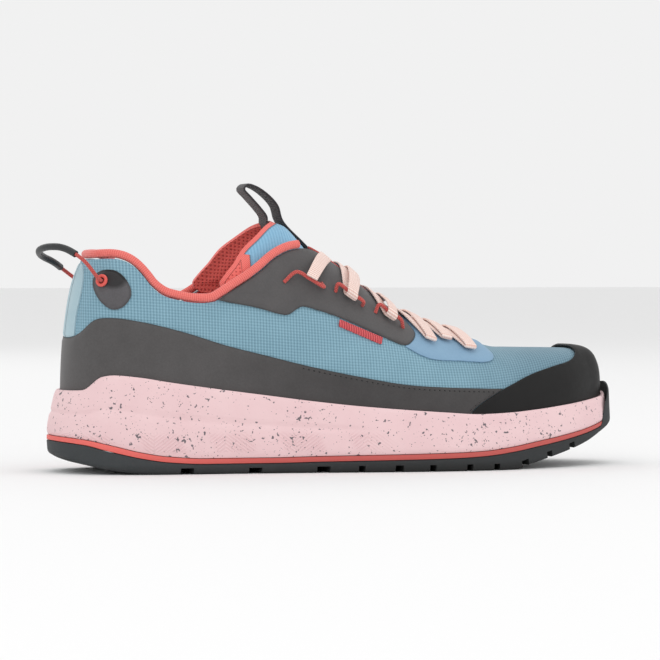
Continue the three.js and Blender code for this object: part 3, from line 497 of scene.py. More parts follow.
def facing(p, v):
    """Outward direction of the last."""
    p, v = np.broadcast_arrays(np.asarray(p, float), np.asarray(v, float))
    step = 0.02
    around = last(p + step, v) - last(p - step, v)
    above = last(p, np.minimum(v + step, 1)) - last(p, np.maximum(v - step, 0))
    out = unit(np.cross(around, above))
    run = spine_rail.at(p + step) - spine_rail.at(p - step)
    top = np.stack([-run[..., 2], np.zeros_like(v), run[..., 0]], axis=-1)
    top = top * np.where(top[..., 2:] < 0, -1, 1)
    size = np.linalg.norm(top, axis=-1, keepdims=True)
    top = np.where(size < 1e-6, [0, 0, 1], top / np.maximum(size, 1e-9))
    return np.where(v[..., None] > 0.999, top, out)


def skin(p, v, offset):
    return last(p, v) + facing(p, v) * np.asarray(offset)[..., None]


def soft_step(value, low, high):
    t = np.clip((np.asarray(value) - low) / (high - low), 0, 1)
    return t * t * (3 - 2 * t)


crown_turns = np.linspace(0, TURNS / 2, 400)
crown_line = spine_rail.at(crown_turns)


def crown_turn(x):
    return np.interp(x, crown_line[:, 0], crown_turns)


def crown_middle(x):
    return np.interp(x, crown_line[:, 0], crown_line[:, 1])


def side_line(rows, steps, closed=False):
    points = Rail([(x * LENGTH, z * HEEL) for x, z in rows], closed).along(steps)
    return points[:-1] if closed else points


def height_over(line):
    """How far points are above a line in side view, in mm."""
    return lambda point: point[:, 2] - np.interp(point[:, 0], line[:, 0], line[:, 1])


def length_past(line):
    """How far points are ahead of a line in side view, in mm."""
    return lambda point: point[:, 0] - np.interp(point[:, 2], line[:, 1], line[:, 0])


def wall_at(point):
    high = soft_step(point[..., 2], 0.62 * HEEL, 0.82 * HEEL)
    back = 1 - soft_step(point[..., 0], 0.20 * LENGTH, 0.28 * LENGTH)
    return WALL + PAD * high * back


collar_edge = side_line(COLLAR_LINE, 120)
over_collar = height_over(collar_edge)


def in_throat(point, grow=0.0):
    """Inside the throat, seen from above: positive; in mm."""
    x = point[:, 0] - grow
    half = np.interp(x, THROAT[:, 0] * LENGTH, THROAT[:, 1] * BALL)
    wide = half + grow - np.abs(point[:, 1] - crown_middle(point[:, 0]))
    return np.minimum(wide, x - THROAT[0, 0] * LENGTH)


RIBS, RIB_STEPS = 128, 40
rib_p, rib_v = np.meshgrid(
    np.linspace(0, TURNS, RIBS + 1), np.linspace(0, 1, RIB_STEPS + 1), indexing="ij"
)
rib_run = np.linalg.norm(np.diff(last(rib_p, rib_v), axis=1), axis=2)
rib_run = np.concatenate([np.zeros((RIBS + 1, 1)), np.cumsum(rib_run, axis=1)], axis=1)


def rib_length(p, v):
    """Length along a rib of the last, from the footbed up."""
    a = np.mod(p, TURNS) * RIBS / TURNS
    b = np.clip(v, 0, 1) * RIB_STEPS
    i, j = np.minimum(a.astype(int), RIBS - 1), np.minimum(b.astype(int), RIB_STEPS - 1)
    s, t = a - i, b - j
    low = rib_run[i, j] * (1 - t) + rib_run[i, j + 1] * t
    high = rib_run[i + 1, j] * (1 - t) + rib_run[i + 1, j + 1] * t
    return low * (1 - s) + high * s


HEEL_TURN = 0.12


def weave_run(point):
    """Length along the shoe, measured round the back of the heel."""
    middle = HEEL_TURN * LENGTH
    behind = np.maximum(middle - point[:, 0], 0)
    reach = np.hypot(behind, point[:, 1])
    return np.maximum(point[:, 0], middle) - reach * np.arctan2(behind, np.abs(point[:, 1]) + 1e-6)


def on_shoe(points):
    return points - np.array([LENGTH / 2, 0, 0])


def pressed(point, edge):
    """Lift of a film that is pressed down along its edge."""
    return GAP + OVERLAY * (0.45 + 0.55 * soft_step(edge, 0, 1.1))


def shell_piece(
    name, turns, rises, steps, cuts, lift=pressed, thick=OVERLAY, weight=None, lining=0
):
    """Piece cut from the surface of the last and given its wall inwards."""
    def spot(u, w):
        return turns[0] + (turns[1] - turns[0]) * u, rises[0] + (rises[1] - rises[0]) * w

    def cutter(cut):
        return lambda u, w: cut(last(*spot(u, w)))

    def place(u, w, edge):
        p, v = spot(u, w)
        point = last(p, v)
        points = on_shoe(skin(p, v, lift(point, edge)))
        return points, np.stack([weave_run(point), rib_length(p, v)], axis=1)

    piece = grid_piece(name, *steps, place, [cutter(cut) for cut in cuts])
    for _ in range(1 + lining):
        piece.data.materials.append(None)
    solid = piece.modifiers.new("wall", "SOLIDIFY")
    solid.thickness = thick * MM
    solid.offset = -1
    solid.use_quality_normals = True
    solid.material_offset = lining
    if weight is not None:
        share = piece.vertex_groups.new(name="wall")
        near = coordinates(piece.data) / MM + [LENGTH / 2, 0, 0]
        values = np.empty(len(near))
        piece.data.attributes["edge"].data.foreach_get("value", values)
        for i, value in enumerate(weight(near, values)):
            share.add([i], float(value), "REPLACE")
        solid.vertex_group = "wall"
    bpy.ops.object.modifier_apply(modifier="wall")
    return piece


upper = shell_piece(
    "upper_shell", (0, TURNS), (0, 1), (420, 64), [over_collar, in_throat],
    lambda point, edge: 0.0 * edge,
    WALL + PAD, lambda point, edge: wall_at(point) / (WALL + PAD), lining=1,
)
cloth = Finish("ripstop cloth", {"Roughness": 0.85, "Sheen Weight": 0.12, "Sheen Roughness": 0.6})
run, rise = cloth.flat()
ribs = cloth.wave(run, 1.45)
bars = cloth.wave(rise, 1.4)
thread = ribs * 0.6 + bars * 0.4
x, y, z = cloth.place()
# Painted shade: the cloth is painted darker towards the toe, from 35 mm to 95 mm ahead of the
# shoe's middle.
ahead = cloth.ramp(x, 35, 95)
cloth.coat(
    cloth.blend(
        thread * 0.75 + cloth.noise(14) * 0.25,
        cloth.blend(ahead, "#5A8093", "#486A7C"),
        cloth.blend(ahead, "#93BBCB", "#7C9FAF"),
    ),
    thread + cloth.noise(0.6) * 0.3, 0.22,
)
knit = Finish("coral lining", {"Roughness": 0.95, "Sheen Weight": 0.25})


def coral_mesh(finish):
    """Colour and holes of the knit."""
    run, rise = finish.flat()
    holes = finish.wave(run, 1.9) * finish.wave(rise, 1.9)
    return finish.blend(finish.ramp(holes, 0.3, 0.9), "#EA6E66", "#B5443F"), holes


color, holes = coral_mesh(knit)
knit.coat(color, 1 - holes, 0.3)
fit(upper, [cloth, knit], ["upper"])

# Mudguard
# A band of dark grey microfibre, pressed on round the heel, both sides and the
# forefoot, with a row of punched holes along its upper edge.
# x, height in side view
BAND_LINE = [
    (-0.050, 0.600), (0.031, 0.600), (0.042, 0.622), (0.063, 0.682), (0.086, 0.690), (0.130, 0.674),
    (0.201, 0.627), (0.271, 0.568), (0.341, 0.520), (0.410, 0.473), (0.502, 0.420), (0.574, 0.386),
    (0.648, 0.371), (0.706, 0.365), (0.746, 0.362),
]
CAP_LINE = [
    (0.680, 0.200), (0.686, 0.262), (0.751, 0.364), (0.767, 0.382), (0.808, 0.425), (0.855, 0.458),
    (0.890, 0.478), (0.907, 0.498), (0.916, 0.525), (0.912, 0.560), (0.906, 0.700),
]
TUCKED = 6
over_band = height_over(side_line(BAND_LINE, 90))
past_cap = length_past(side_line(CAP_LINE, 60))


def under_rim(point):
    return level(RIM, point[:, 0]) - TUCKED - point[:, 2]


mudguard = shell_piece(
    "mudguard_band", (0, TURNS), (0, 0.62), (520, 56),
    [over_band, under_rim, lambda point: past_cap(point) + GAP],
)
suede = Finish("dark microfibre", {"Roughness": 0.88, "Sheen Weight": 0.18, "Sheen Roughness": 0.5})
run, rise = suede.flat()
edge = suede.edge()
HOLE_PITCH, HOLE_ROW, HOLES_FROM = 2.5, 1.7, 0.395
# The punched holes are painted near black: painted shade inside the holes.
hole = ((run % HOLE_PITCH) - HOLE_PITCH / 2) ** 2 + (edge - HOLE_ROW) ** 2 * 1.6 < 0.30
punched = hole * suede.ramp(run, HOLES_FROM * LENGTH, (HOLES_FROM + 0.005) * LENGTH)
nap = suede.noise(0.9, 6)
# Darker along the cut edge: partly the edge's own wear, partly painted shade where the film steps
# down onto the cloth.
rim = 1 - suede.ramp(edge, 0.15, 0.6)
x, y, z = suede.place()
# Painted shade: the band is painted darker from the heel towards the forefoot, from x -75 mm to -10
# mm.
ahead = suede.ramp(x, -75, -10)
shade = suede.blend(
    suede.noise(9) * 0.5 + nap * 0.5,
    suede.blend(ahead, "#413F3F", "#323030"),
    suede.blend(ahead, "#5B5959", "#4A4848"),
)
suede.coat(suede.blend(punched * 0.9 + rim * 0.55, shade, "#1A1919"), nap * 0.5 - punched * 2, 0.14)
fit(mudguard, suede, ["mudguard"])

# Toe cap
# Black rubber film, smooth with a dull gloss, over the toe and up on top of it,
# where it is a little thicker.
THICKER = 0.7
toe_cap = shell_piece(
    "toe_cap_film", (9, TURNS - 9), (0, 1), (260, 80),
    [lambda point: -past_cap(point), under_rim],
    lambda point, edge: pressed(point, edge)
    + THICKER * soft_step(point[:, 2], 0.47 * HEEL, 0.53 * HEEL),
)
film = Finish("toe rubber", {"Roughness": 0.5, "Specular IOR Level": 0.25})
film.give({
    "Base Color": film.blend(film.noise(7), "#0A0909", "#131212"),
    "Roughness": film.noise(3) * 0.12 + 0.46,
    "Normal": film.bump(film.noise(0.5, 5), 0.05),
})
fit(toe_cap, film, ["toe_cap"])

# Heel back strip
# Smooth light blue band up the back of the heel, with the closing seam down its
# middle.
STRIP_LINE = [(0.036, 0.600), (0.040, 0.700), (0.052, 0.860), (0.064, 1.100)]
HEEL_PATCH_LINE = [
    (0.076, 0.900), (0.096, 0.898), (0.113, 0.848), (0.117, 0.790), (0.103, 0.738), (0.087, 0.728),
    (0.072, 0.760), (0.063, 0.820), (0.065, 0.872),
]
past_strip = length_past(side_line(STRIP_LINE, 20))
patch_edge = side_line(HEEL_PATCH_LINE, 60, closed=True)


def outside(line, x, z):
    """Distance from a closed outline in side view, negative inside it."""
    a, b = line, np.roll(line, -1, axis=0)
    d = b - a
    px, pz = x[:, None], z[:, None]
    t = ((px - a[:, 0]) * d[:, 0] + (pz - a[:, 1]) * d[:, 1]) / np.maximum((d**2).sum(1), 1e-9)
    t = np.clip(t, 0, 1)
    far = np.hypot(px - a[:, 0] - t * d[:, 0], pz - a[:, 1] - t * d[:, 1]).min(axis=1)
    level_gap = np.where(b[:, 1] == a[:, 1], 1e-9, b[:, 1] - a[:, 1])
    crossing = px < d[:, 0] * (pz - a[:, 1]) / level_gap + a[:, 0]
    inside = (((a[:, 1] > pz) != (b[:, 1] > pz)) & crossing).sum(axis=1) % 2 == 1
    return np.where(inside, -far, far)


heel_strip = shell_piece(
    "heel_back_strip", (-2.6, 2.6), (0.1, 0.62), (90, 90),
    [
        past_strip,
        over_collar,
        lambda point: GAP - over_band(point),
        lambda point: -outside(patch_edge - [2 * GAP, 0], point[:, 0], point[:, 2]),
    ],
)
satin = Finish("light blue heel fabric", {"Roughness": 0.7, "Sheen Weight": 0.1})
x, y, z = satin.place()
seam = 1 - satin.ramp(y.math("ABSOLUTE"), 0.25, 0.8)
fibre = satin.noise(0.7, 4)
satin.coat(
    satin.blend(
        seam * 0.8,
        satin.blend(satin.noise(8) * 0.6 + fibre * 0.4, "#97B4BF", "#B4CCD4"),
        "#5E7884",
    ),
    fibre * 0.3 - seam * 2, 0.15,
)
fit(heel_strip, satin, ["heel_strip"])

# Eyestays, side tags, heel patches and vamp patch
# Panels laid on the upper: dark microfibre beside the throat, coral ribbed tabs
# under them, grey rounded patches for the heel cord and a smooth blue film ahead.
EYESTAY_LINE = [
    (0.250, 0.780), (0.258, 0.770), (0.325, 0.734), (0.364, 0.705), (0.377, 0.702), (0.402, 0.738),
    (0.424, 0.725), (0.465, 0.689), (0.543, 0.598), (0.578, 0.562), (0.588, 0.566), (0.606, 0.612),
    (0.596, 0.680), (0.592, 0.900),
]
PATCH_LINE = [
    (0.580, 0.556), (0.609, 0.513), (0.631, 0.496), (0.680, 0.488), (0.727, 0.482), (0.742, 0.494),
    (0.746, 0.516), (0.740, 0.546), (0.746, 0.900),
]
TAG_LINE = [(0.466, 0.681), (0.540, 0.597), (0.536, 0.566), (0.463, 0.650)]
eyestay_edge = side_line(EYESTAY_LINE, 80)
eyestay_area = np.vstack([eyestay_edge, [(0.40 * LENGTH, 2 * HEEL), (0.25 * LENGTH, 2 * HEEL)]])
vamp_area = np.vstack([side_line(PATCH_LINE, 50), [(0.57 * LENGTH, 0.9 * HEEL)]])
tag_area = np.array([(x * LENGTH, z * HEEL) for x, z in TAG_LINE])


def beyond(area, grow=0.0):
    return lambda point: outside(area, point[:, 0], point[:, 2]) - grow


def beside_throat(point):
    return in_throat(point, 0.6)


stay = Finish(
    "eyestay microfibre", {"Roughness": 0.86, "Sheen Weight": 0.18, "Sheen Roughness": 0.5}
)
nap = stay.noise(0.9, 6)
edge = stay.edge()
# Darker along the cut edge: partly the edge's own wear, partly painted shade where the film steps
# down onto the cloth.
rim = 1 - stay.ramp(edge, 0.2, 0.9)
stay.coat(
    stay.blend(
        rim * 0.5,
        stay.blend(stay.noise(9) * 0.5 + nap * 0.5, "#434142", "#5E5C5C"),
        "#2E2C2D",
    ),
    nap, 0.07,
)
tab = Finish("coral tab", {"Roughness": 0.8})
run, rise = tab.flat()
lines = tab.wave(run, 1.15)
tab.coat(tab.blend(lines, "#A8373C", "#E5676B"), lines, 0.3)
pad = Finish("grey heel patch", {"Roughness": 0.85, "Sheen Weight": 0.15})
x, y, z = pad.place()
fibre = pad.noise(0.7, 4)
# Darker along the cut edge: partly the edge's own wear, partly painted shade where the patch steps
# down onto the cloth.
rim = 1 - pad.ramp(pad.edge(), 0.3, 1.2)
# Painted shadow: a round spot by the cord guide is painted near black for the shade in the pocket
# the cord comes out of; the relief sinks the same spot.
shaded_pocket = 1 - pad.ramp(((x + 116.5) * 0.8) ** 2 + (z - 91) ** 2, 12, 30)
flap = pad.blend(fibre * 0.6 + pad.noise(6) * 0.4, "#454345", "#646265")
pad.coat(
    pad.blend(shaded_pocket * 0.85 + rim * 0.3, flap, "#1B1A1B"),
    fibre * 0.3 + rim - shaded_pocket * 2, 0.25,
)
front = Finish("smooth blue film", {"Roughness": 0.62, "Sheen Weight": 0.05})
fine = front.noise(0.8, 5)
front.coat(front.blend(front.noise(10) * 0.6 + fine * 0.4, "#6F92B0", "#8CB0C9"), fine, 0.04)
vamp_patch = shell_piece(
    "vamp_patch_film", (8, TURNS - 8), (0.3, 1), (300, 60),
    [beyond(vamp_area), lambda point: -beyond(eyestay_area, GAP)(point), beside_throat],
)
fit(vamp_patch, front, ["vamp_patch"])
for side, turns in (("lateral", (2, 13)), ("medial", (TURNS - 13, TURNS - 2))):
    fit(
        shell_piece(
            f"eyestay_panel_{side}", turns, (0.25, 1), (260, 80),
            [beyond(eyestay_area), over_collar, beside_throat],
        ),
        stay, [f"eyestay_{side}"],
    )
    fit(
        shell_piece(f"side_tab_{side}", turns, (0.2, 0.8), (320, 160), [beyond(tag_area)]),
        tab, [f"side_tag_{side}"],
    )
for side, turns in (("lateral", (0, 4)), ("medial", (TURNS - 4, TURNS))):
    fit(
        shell_piece(
            f"heel_pad_{side}", turns, (0.15, 0.6), (140, 120), [beyond(patch_edge)],
            lambda point, edge: GAP + OVERLAY * (0.3 + 0.7 * soft_step(edge, 0, 2)),
        ),
        pad, [f"heel_patch_{side}"],
    )

# Throat piping
# Thin coral cord sewn under the edge of each eyestay along the throat, so that
# it shows between the laces.
PIPING, PIPING_LIFT, PIPING_RUN = 1.1, 0.75, (0.425, 0.6)
for name, side in (("lateral", 1), ("medial", -1)):
    ribs_on = crown_turn(np.linspace(*PIPING_RUN, 40) * LENGTH) * side
    rises = np.linspace(0.5, 1, 500)
    here = last(ribs_on[:, None], rises[None, :])
    open_at = np.array([np.argmax(in_throat(row, 0.6) > 0) for row in here])
    line = on_shoe(skin(ribs_on, rises[open_at], PIPING_LIFT))
    piping = tube(f"throat_piping_{name}", line, PIPING / 2, 90, 10)
    piping.data.materials.append(braid.material)
    alone(piping)
    bpy.ops.object.shade_smooth()
    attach(piping, "root")

# Collar binding
# Coral knitted tape folded over the padded edge of the collar, from one side of
# the throat round the heel to the other.
BINDING = 4.0
EDGE_RUN = 6.15


def highest(under, low, high, rounds=30):
    """Highest rise on the last, at each place, for which under(rise) holds."""
    for _ in range(rounds):
        rise = (low + high) / 2
        held = under(rise)
        low, high = np.where(held, rise, low), np.where(held, high, rise)
    return low


def roll_path(count):
    """Middle of the roll, from the lateral end round to the medial one."""
    p = np.mod(EDGE_RUN - np.linspace(0, 2, count) * EDGE_RUN, TURNS)

    def near(v):
        point = last(p, v)
        ahead = soft_step(point[:, 0], 0.20 * LENGTH, 0.28 * LENGTH)
        return skin(p, v, -wall_at(point) / 2 * (1 - ahead) + 0.2 * ahead)

    rise = highest(lambda v: over_collar(near(v)) < 0, np.full(count, 0.2), np.ones(count))
    point = near(rise)
    k = np.clip(np.searchsorted(collar_edge[:, 0], point[:, 0]) - 1, 0, len(collar_edge) - 2)
    step = collar_edge[k + 1] - collar_edge[k]
    tilt = unit(np.stack([-step[:, 1], np.zeros(count), step[:, 0]], axis=1))
    return point + tilt * (BINDING / 2 + 1.5 * GAP)


binding = tube("collar_roll", on_shoe(roll_path(70)), BINDING / 2, 360, 20)
tape = Finish("coral tape", {"Roughness": 0.85, "Sheen Weight": 0.3, "Sheen Roughness": 0.4})
run, girth = tape.flat()
knots = tape.wave(run, 1.0) * 0.7 + tape.wave(girth, 0.9) * 0.3
tape.coat(tape.blend(knots * 0.7 + tape.noise(5) * 0.3, "#D6554F", "#F98B82"), knots, 0.16)
fit(binding, tape, ["collar_binding"])

# Tongue
# Foam between coral mesh and smooth blue fabric, thick in the middle and thin
# along its edge, under the eyestays and up past the collar. The mesh turns over
# its rear wings, and coral piping closes the edge.
TONGUE, SINK = 4.6, 2.4
WING_X, WING_TOP, TONGUE_PIPING = -53, 102, 2.0
TONGUE_LINE = [
    (0.398, 1.168), (0.388, 1.162), (0.365, 1.132), (0.337, 1.070), (0.311, 1.009), (0.293, 0.942),
    (0.277, 0.890), (0.268, 0.850), (0.277, 0.815), (0.312, 0.795), (0.380, 0.735), (0.480, 0.630),
    (0.580, 0.530), (0.640, 0.530), (0.652, 0.600), (0.652, 1.160),
]
tongue_area = side_line(TONGUE_LINE, 110, closed=True)


def sunk(x):
    return SINK * soft_step(x, 0.40 * LENGTH, 0.46 * LENGTH)


tongue = shell_piece(
    "tongue_pad", (2, TURNS - 2), (0.2, 1), (460, 90), [beyond(tongue_area)],
    lambda point, edge: -WALL - GAP - sunk(point[:, 0]) - 1.5 * (1 - soft_step(edge, 0, 6)),
    TONGUE, lambda point, edge: 0.5 + 0.5 * soft_step(edge, 0, 8), lining=1,
)
face = Finish("tongue fabric", {"Roughness": 0.8, "Sheen Weight": 0.15})
run, rise = face.flat()
x, y, z = face.place()
wing = x - WING_X + face.ramp(z, WING_TOP, WING_TOP + 4) * 40
mesh_wing = wing < 0
edge = face.edge().math("MINIMUM", wing.math("ABSOLUTE"))
past_piping = face.ramp(edge, TONGUE_PIPING, TONGUE_PIPING + 0.3)
piping = 1 - past_piping
seam = past_piping - face.ramp(edge, TONGUE_PIPING + 0.5, TONGUE_PIPING + 0.9)
threads = face.wave(run, 1.6) * 0.5 + face.noise(0.9, 3) * 0.5
blue = face.blend(threads, "#6E9FBE", "#8FBFDB")
cord_knit = face.blend(face.wave(run + rise, 1.1), "#DB5C55", "#F5837B")
cover = face.blend(mesh_wing, face.blend(seam * 0.6, blue, "#3E5E72"), coral_mesh(face)[0])
face.coat(face.blend(piping, cover, cord_knit), piping * 1.5 + threads * 0.3, 0.5)
fit(tongue, [face, knit], ["tongue"])

# Tongue webbing
# Dark woven strap stitched down the middle of the tongue, folded back at the
# top into the loop that pulls it.
WIDE, THICK, RING_POINTS = 14, 1.3, 20
# x, height in side view, over the tongue and back down behind it
PULL_LOOP = [
    (0.389, 1.195), (0.372, 1.245), (0.352, 1.280), (0.337, 1.289), (0.331, 1.270), (0.342, 1.235),
    (0.359, 1.185), (0.370, 1.145), (0.371, 1.112), (0.380, 1.076), (0.392, 1.050),
]
foot = np.arange(0.56, 0.4, -0.04)
lower = [
    skin(crown_turn(x * LENGTH), 1.0, THICK / 2 - WALL + 1.2 * GAP - sunk(x * LENGTH))
    for x in foot
]
strap_line = [(q[0], q[2]) for q in lower] + [(x * LENGTH, z * HEEL) for x, z in PULL_LOOP]
dense = Rail(strap_line).along(400)
reach = np.concatenate([[0], np.cumsum(np.linalg.norm(np.diff(dense, axis=0), axis=1))])
even = np.linspace(0, reach[-1], 111)
strap = np.stack([np.interp(even, reach, dense[:, k]) for k in (0, 1)], axis=1)
ahead = unit(np.gradient(strap, axis=0))
strap_rows = []
middle = 0.02 * BALL
for (x, z), (dx, dz) in zip(strap, ahead):
    row = []
    for k in range(RING_POINTS):
        turn = -2 * math.pi * k / RING_POINTS
        c, s = math.cos(turn), math.sin(turn)
        across = middle + WIDE / 2 * math.copysign(abs(c) ** 0.35, c)
        off = THICK / 2 * math.copysign(abs(s) ** 0.6, s)
        row.append((x - dz * off - LENGTH / 2, across, z + dx * off))
    strap_rows.append(row)
webbing = rows_piece("tongue_strap", strap_rows)
band = Finish("dark webbing", {"Roughness": 0.85, "Sheen Weight": 0.2})
run, girth = band.flat()
x, y, z = band.place()
weave = band.wave(run, 1.1) * 0.6 + band.wave(y, 1.5) * 0.4
border = band.ramp((y - 2).math("ABSOLUTE"), 5.2, 5.6)
band.coat(band.blend(weave * 0.7 + border * 0.3, "#1F1E20", "#3B393C"), weave, 0.22)
fit(webbing, band, ["tongue_webbing"])

# Lace loops
# Braided coral cords, three on each side, that come out of slots in the
# eyestays, pass over the lace and go back in.
OUT = {"lateral": -1, "medial": 1}
LOOP_FLAT, LOOP_END = 0.24, 1.2
LACE_WIDE, LACE_THICK = 7, 1.1
UNDER = GAP + OVERLAY + 3.4 * GAP + LACE_THICK / 2
ROUND_CORD = UNDER + LACE_THICK / 2 + 2 * GAP + CORD / 2
# side view x, z of the rear end, the tip and the fore end
LOOPS = [
    ((0.373, 0.846), (0.414, 0.848), (0.439, 0.838)),
    ((0.463, 0.801), (0.483, 0.778), (0.510, 0.736)),
    ((0.533, 0.703), (0.553, 0.679), (0.583, 0.633)),
]


def side_spot(place, side):
    """Turn and rise on one side of the last for a place in side view."""
    x, z = place[0] * LENGTH, place[1] * HEEL
    p = float(crown_turn(x))
    for _ in range(12):
        turn = p if side < 0 else TURNS - p
        v = float(highest(lambda rise: last(turn, rise)[2] < z, 0.0, 1.0))
        p -= (last(turn, v)[0] - x) / ((LENGTH / TURNS) * 2)
        p = min(max(p, 0.01), TURNS / 2 - 0.01)
    return (p if side < 0 else TURNS - p), v


for name, side in OUT.items():
    for number, (back, tip, fore) in enumerate(LOOPS, 1):
        def on_side(place, offset):
            return skin(*side_spot(place, side), offset)

        p, v = side_spot(tip, side)
        flat = -LOOP_FLAT * side
        points = [
            on_side(back, LOOP_END),
            skin(p - flat, v, ROUND_CORD), skin(p, v, ROUND_CORD), skin(p + flat, v, ROUND_CORD),
            on_side(fore, LOOP_END),
        ]
        loop = tube(f"eyelet_cord_{name}_{number}", on_shoe(np.array(points)), CORD / 2, 60)
        fit(loop, braid, [f"lace_loop_{name}_{number}"])

# Lace
# One flat peach webbing that crosses the tongue from side to side, round the
# lace loops above and through slots below, its ends put away under the top.
OVER_CORD = 2 * ROUND_CORD - UNDER
OVER_LACE = UNDER + LACE_THICK + GAP
TOP_UNDER = 1.5 - SINK
THROAT_END = 0.7
TURN_WIDTH, FIRST_DROP, SMOOTHING = 0.82, 1.1, 8
# side view x, z, where it crosses the top line, round a cord loop or not
BARS = [
    (0.414, 0.848, 0.476, True), (0.483, 0.778, 0.508, True), (0.553, 0.679, 0.562, True),
    (0.627, 0.572, 0.608, False), (0.661, 0.572, 0.646, False), (0.700, 0.530, 0.686, False),
]


def layer(point, over, lift):
    x = point[0] / LENGTH
    half = BALL * np.interp(x, THROAT[:9, 0], THROAT[:9, 1])
    off = abs(point[1] - crown_middle(point[0]))
    low = 1.0 if x > THROAT_END else soft_step(off, 0.40 * half, 0.84 * half)
    under = TOP_UNDER + (UNDER - TOP_UNDER) * low
    return under + LACE_THICK + GAP + lift * (OVER_CORD - OVER_LACE) if over else under


def half_turns(p, v):
    span = np.linalg.norm(last(p + 0.05, v) - last(p - 0.05, v)) / 0.1
    return LACE_WIDE / 2 / span


def lace_run(start, end, crown, side, count, over):
    first = side_spot(start, side)
    other = side_spot(end, -side)
    ridge = crown_turn(crown * LENGTH)
    rows = []
    for i in range(count + 1):
        share = 2 * i / count
        ahead = share <= 1
        spot, t = (first, share) if ahead else (other, 2 - share)
        flank = side if ahead else -side
        crest = ridge if flank < 0 else TURNS - ridge
        p = spot[0] + (crest - spot[0]) * math.sin(t * math.pi / 2)
        v = spot[1] + (1 - spot[1]) * t
        lift = (1 - soft_step(t, 0.1, 0.4)) if (start if ahead else end)[3] else 0
        if ahead and start is BARS[0] and over:
            lift -= FIRST_DROP * soft_step(t, 0.02, 0.3) * (1 - soft_step(t, 0.75, 0.95))
        half = half_turns(p, v) * (TURN_WIDTH + (1 - TURN_WIDTH) * soft_step(t, 0.0, 0.35))
        corners = []
        for turn, up in ((p - half, -1), (p + half, -1), (p + half, 1), (p - half, 1)):
            height = layer(last(turn, v), over, lift)
            corners.append(skin(turn, v, height + up * LACE_THICK / 2))
        a, b, c, d = corners if flank < 0 else [corners[k] for k in (1, 0, 3, 2)]
        rows.append([a, b, c, d] if over else [d, c, b, a])
    rows = np.array(rows)
    for _ in range(SMOOTHING):
        rows[1:-1] += (rows[:-2] + rows[2:] - 2 * rows[1:-1]) / 4
    return list(rows)


def lace_turn(place, side, downwards):
    p, v = side_spot(place, side)
    radius = ((OVER_CORD if place[3] else OVER_LACE) - UNDER) / 2
    half = half_turns(p, v) * TURN_WIDTH
    rows = []
    for degrees in range(60, -61, -20):
        angle = math.radians(degrees if downwards else -degrees)

        def corner(turn, up):
            down = unit(last(turn, v - 0.02) - last(turn, v))
            reach = facing(turn, v) * math.sin(angle) + down * math.cos(angle)
            return skin(turn, v, UNDER + radius) + reach * (radius + up * LACE_THICK / 2)

        a, b = (p - half, p + half) if side < 0 else (p + half, p - half)
        rows.append([corner(a, -1), corner(b, -1), corner(b, 1), corner(a, 1)])
    return rows


corner_rows = []
for place, following in zip(BARS, BARS[1:] + [None]):
    corner_rows += lace_run(place, place, place[2], -1, 36, True)
    if following:
        corner_rows += lace_turn(place, 1, True)
        corner_rows += lace_run(place, following, (place[2] + following[2]) / 2, 1, 30, False)
        corner_rows += lace_turn(following, -1, False)
turns = np.linspace(0, 2 * math.pi, 18, endpoint=False)
wide = 0.5 - 0.5 * np.sign(np.cos(turns)) * np.abs(np.cos(turns)) ** 0.4
tall = 0.5 - 0.5 * np.sign(np.sin(turns)) * np.abs(np.sin(turns)) ** 0.7
lace_rows = []
for a, b, c, d in np.array(corner_rows):
    near = a + np.outer(wide, b - a)
    far = d + np.outer(wide, c - d)
    lace_rows.append(on_shoe(near + (far - near) * tall[:, None]))
lace = rows_piece("lace_webbing", lace_rows)
peach = Finish("peach webbing", {"Roughness": 0.85, "Sheen Weight": 0.25})
run, girth = peach.flat()
threads = peach.wave(run, 1.25) * 0.8 + peach.wave(girth, 1.2) * 0.2
peach.coat(peach.blend(threads * 0.8 + peach.noise(4) * 0.2, "#DDAEA0", "#FFF0E8"), threads, 0.22)
fit(lace, peach, ["lace"])

# Heel cord guides
# Moulded coral rings of hard plastic, one set on each heel patch, where the
# heel cord comes out.
RING_RADIUS, RING_THICK, RING_SPOT = 2.2, 0.8, (0.077, 0.852)
gloss = Finish("coral plastic", {"Roughness": 0.55})
gloss.coat(gloss.blend(gloss.noise(2), "#D24C45", "#E8665C"), gloss.noise(0.8), 0.04)
for name, side in OUT.items():
    p, v = side_spot(RING_SPOT, side)
    middle = on_shoe(skin(p, v, 2 * GAP + OVERLAY + RING_THICK)) * MM
    way = Vector(facing(p, v)).to_track_quat("Z", "Y").to_euler()
    bpy.ops.mesh.primitive_torus_add(
        location=tuple(middle), rotation=way, major_segments=40, minor_segments=18,
        major_radius=RING_RADIUS * MM, minor_radius=RING_THICK * MM,
    )
    guide = bpy.context.object
    guide.name = f"cord_ring_{name}"
    bpy.ops.object.transform_apply(location=True, rotation=True, scale=True)
    fit(guide, gloss, [f"heel_cord_guide_{name}"])

# Insole
# Moulded foam under coral knit that fills the bottom of the upper, a little
# dished under the foot.
INSOLE = 4
around = np.linspace(0, TURNS, 241)


def mid_row(row, share):
    """A row drawn in towards the middle line of the sole."""
    mirror = row[::-1]
    return row + (mirror - row) * share / 2


def at_level(row, column, rise):
    """The row at one of the levels of the sole, raised by some mm."""
    row[:, 2] = level(column, row[:, 0]) + rise
    return row


def sole_row(inset, column, rise, share=0):
    """Row round the sole at one of its levels, drawn in by a share."""
    return at_level(mid_row(outline(around, inset), share), column, rise)


def between(row, low_z, high_z, share):
    """The row at a share of the way up from one height to another."""
    row[:, 2] = low_z + (high_z - low_z) * share
    return row


def sole_piece(name, rows):
    """Closed skin over rows that run round the sole."""
    return rows_piece(name, [on_shoe(row[:-1]) for row in rows], close=False)


inset = form_rail.at(around)[:, 0]
wrap = form_rail.at(around)[:, 2]
inside = inset + WALL + GAP
bed_rows = []
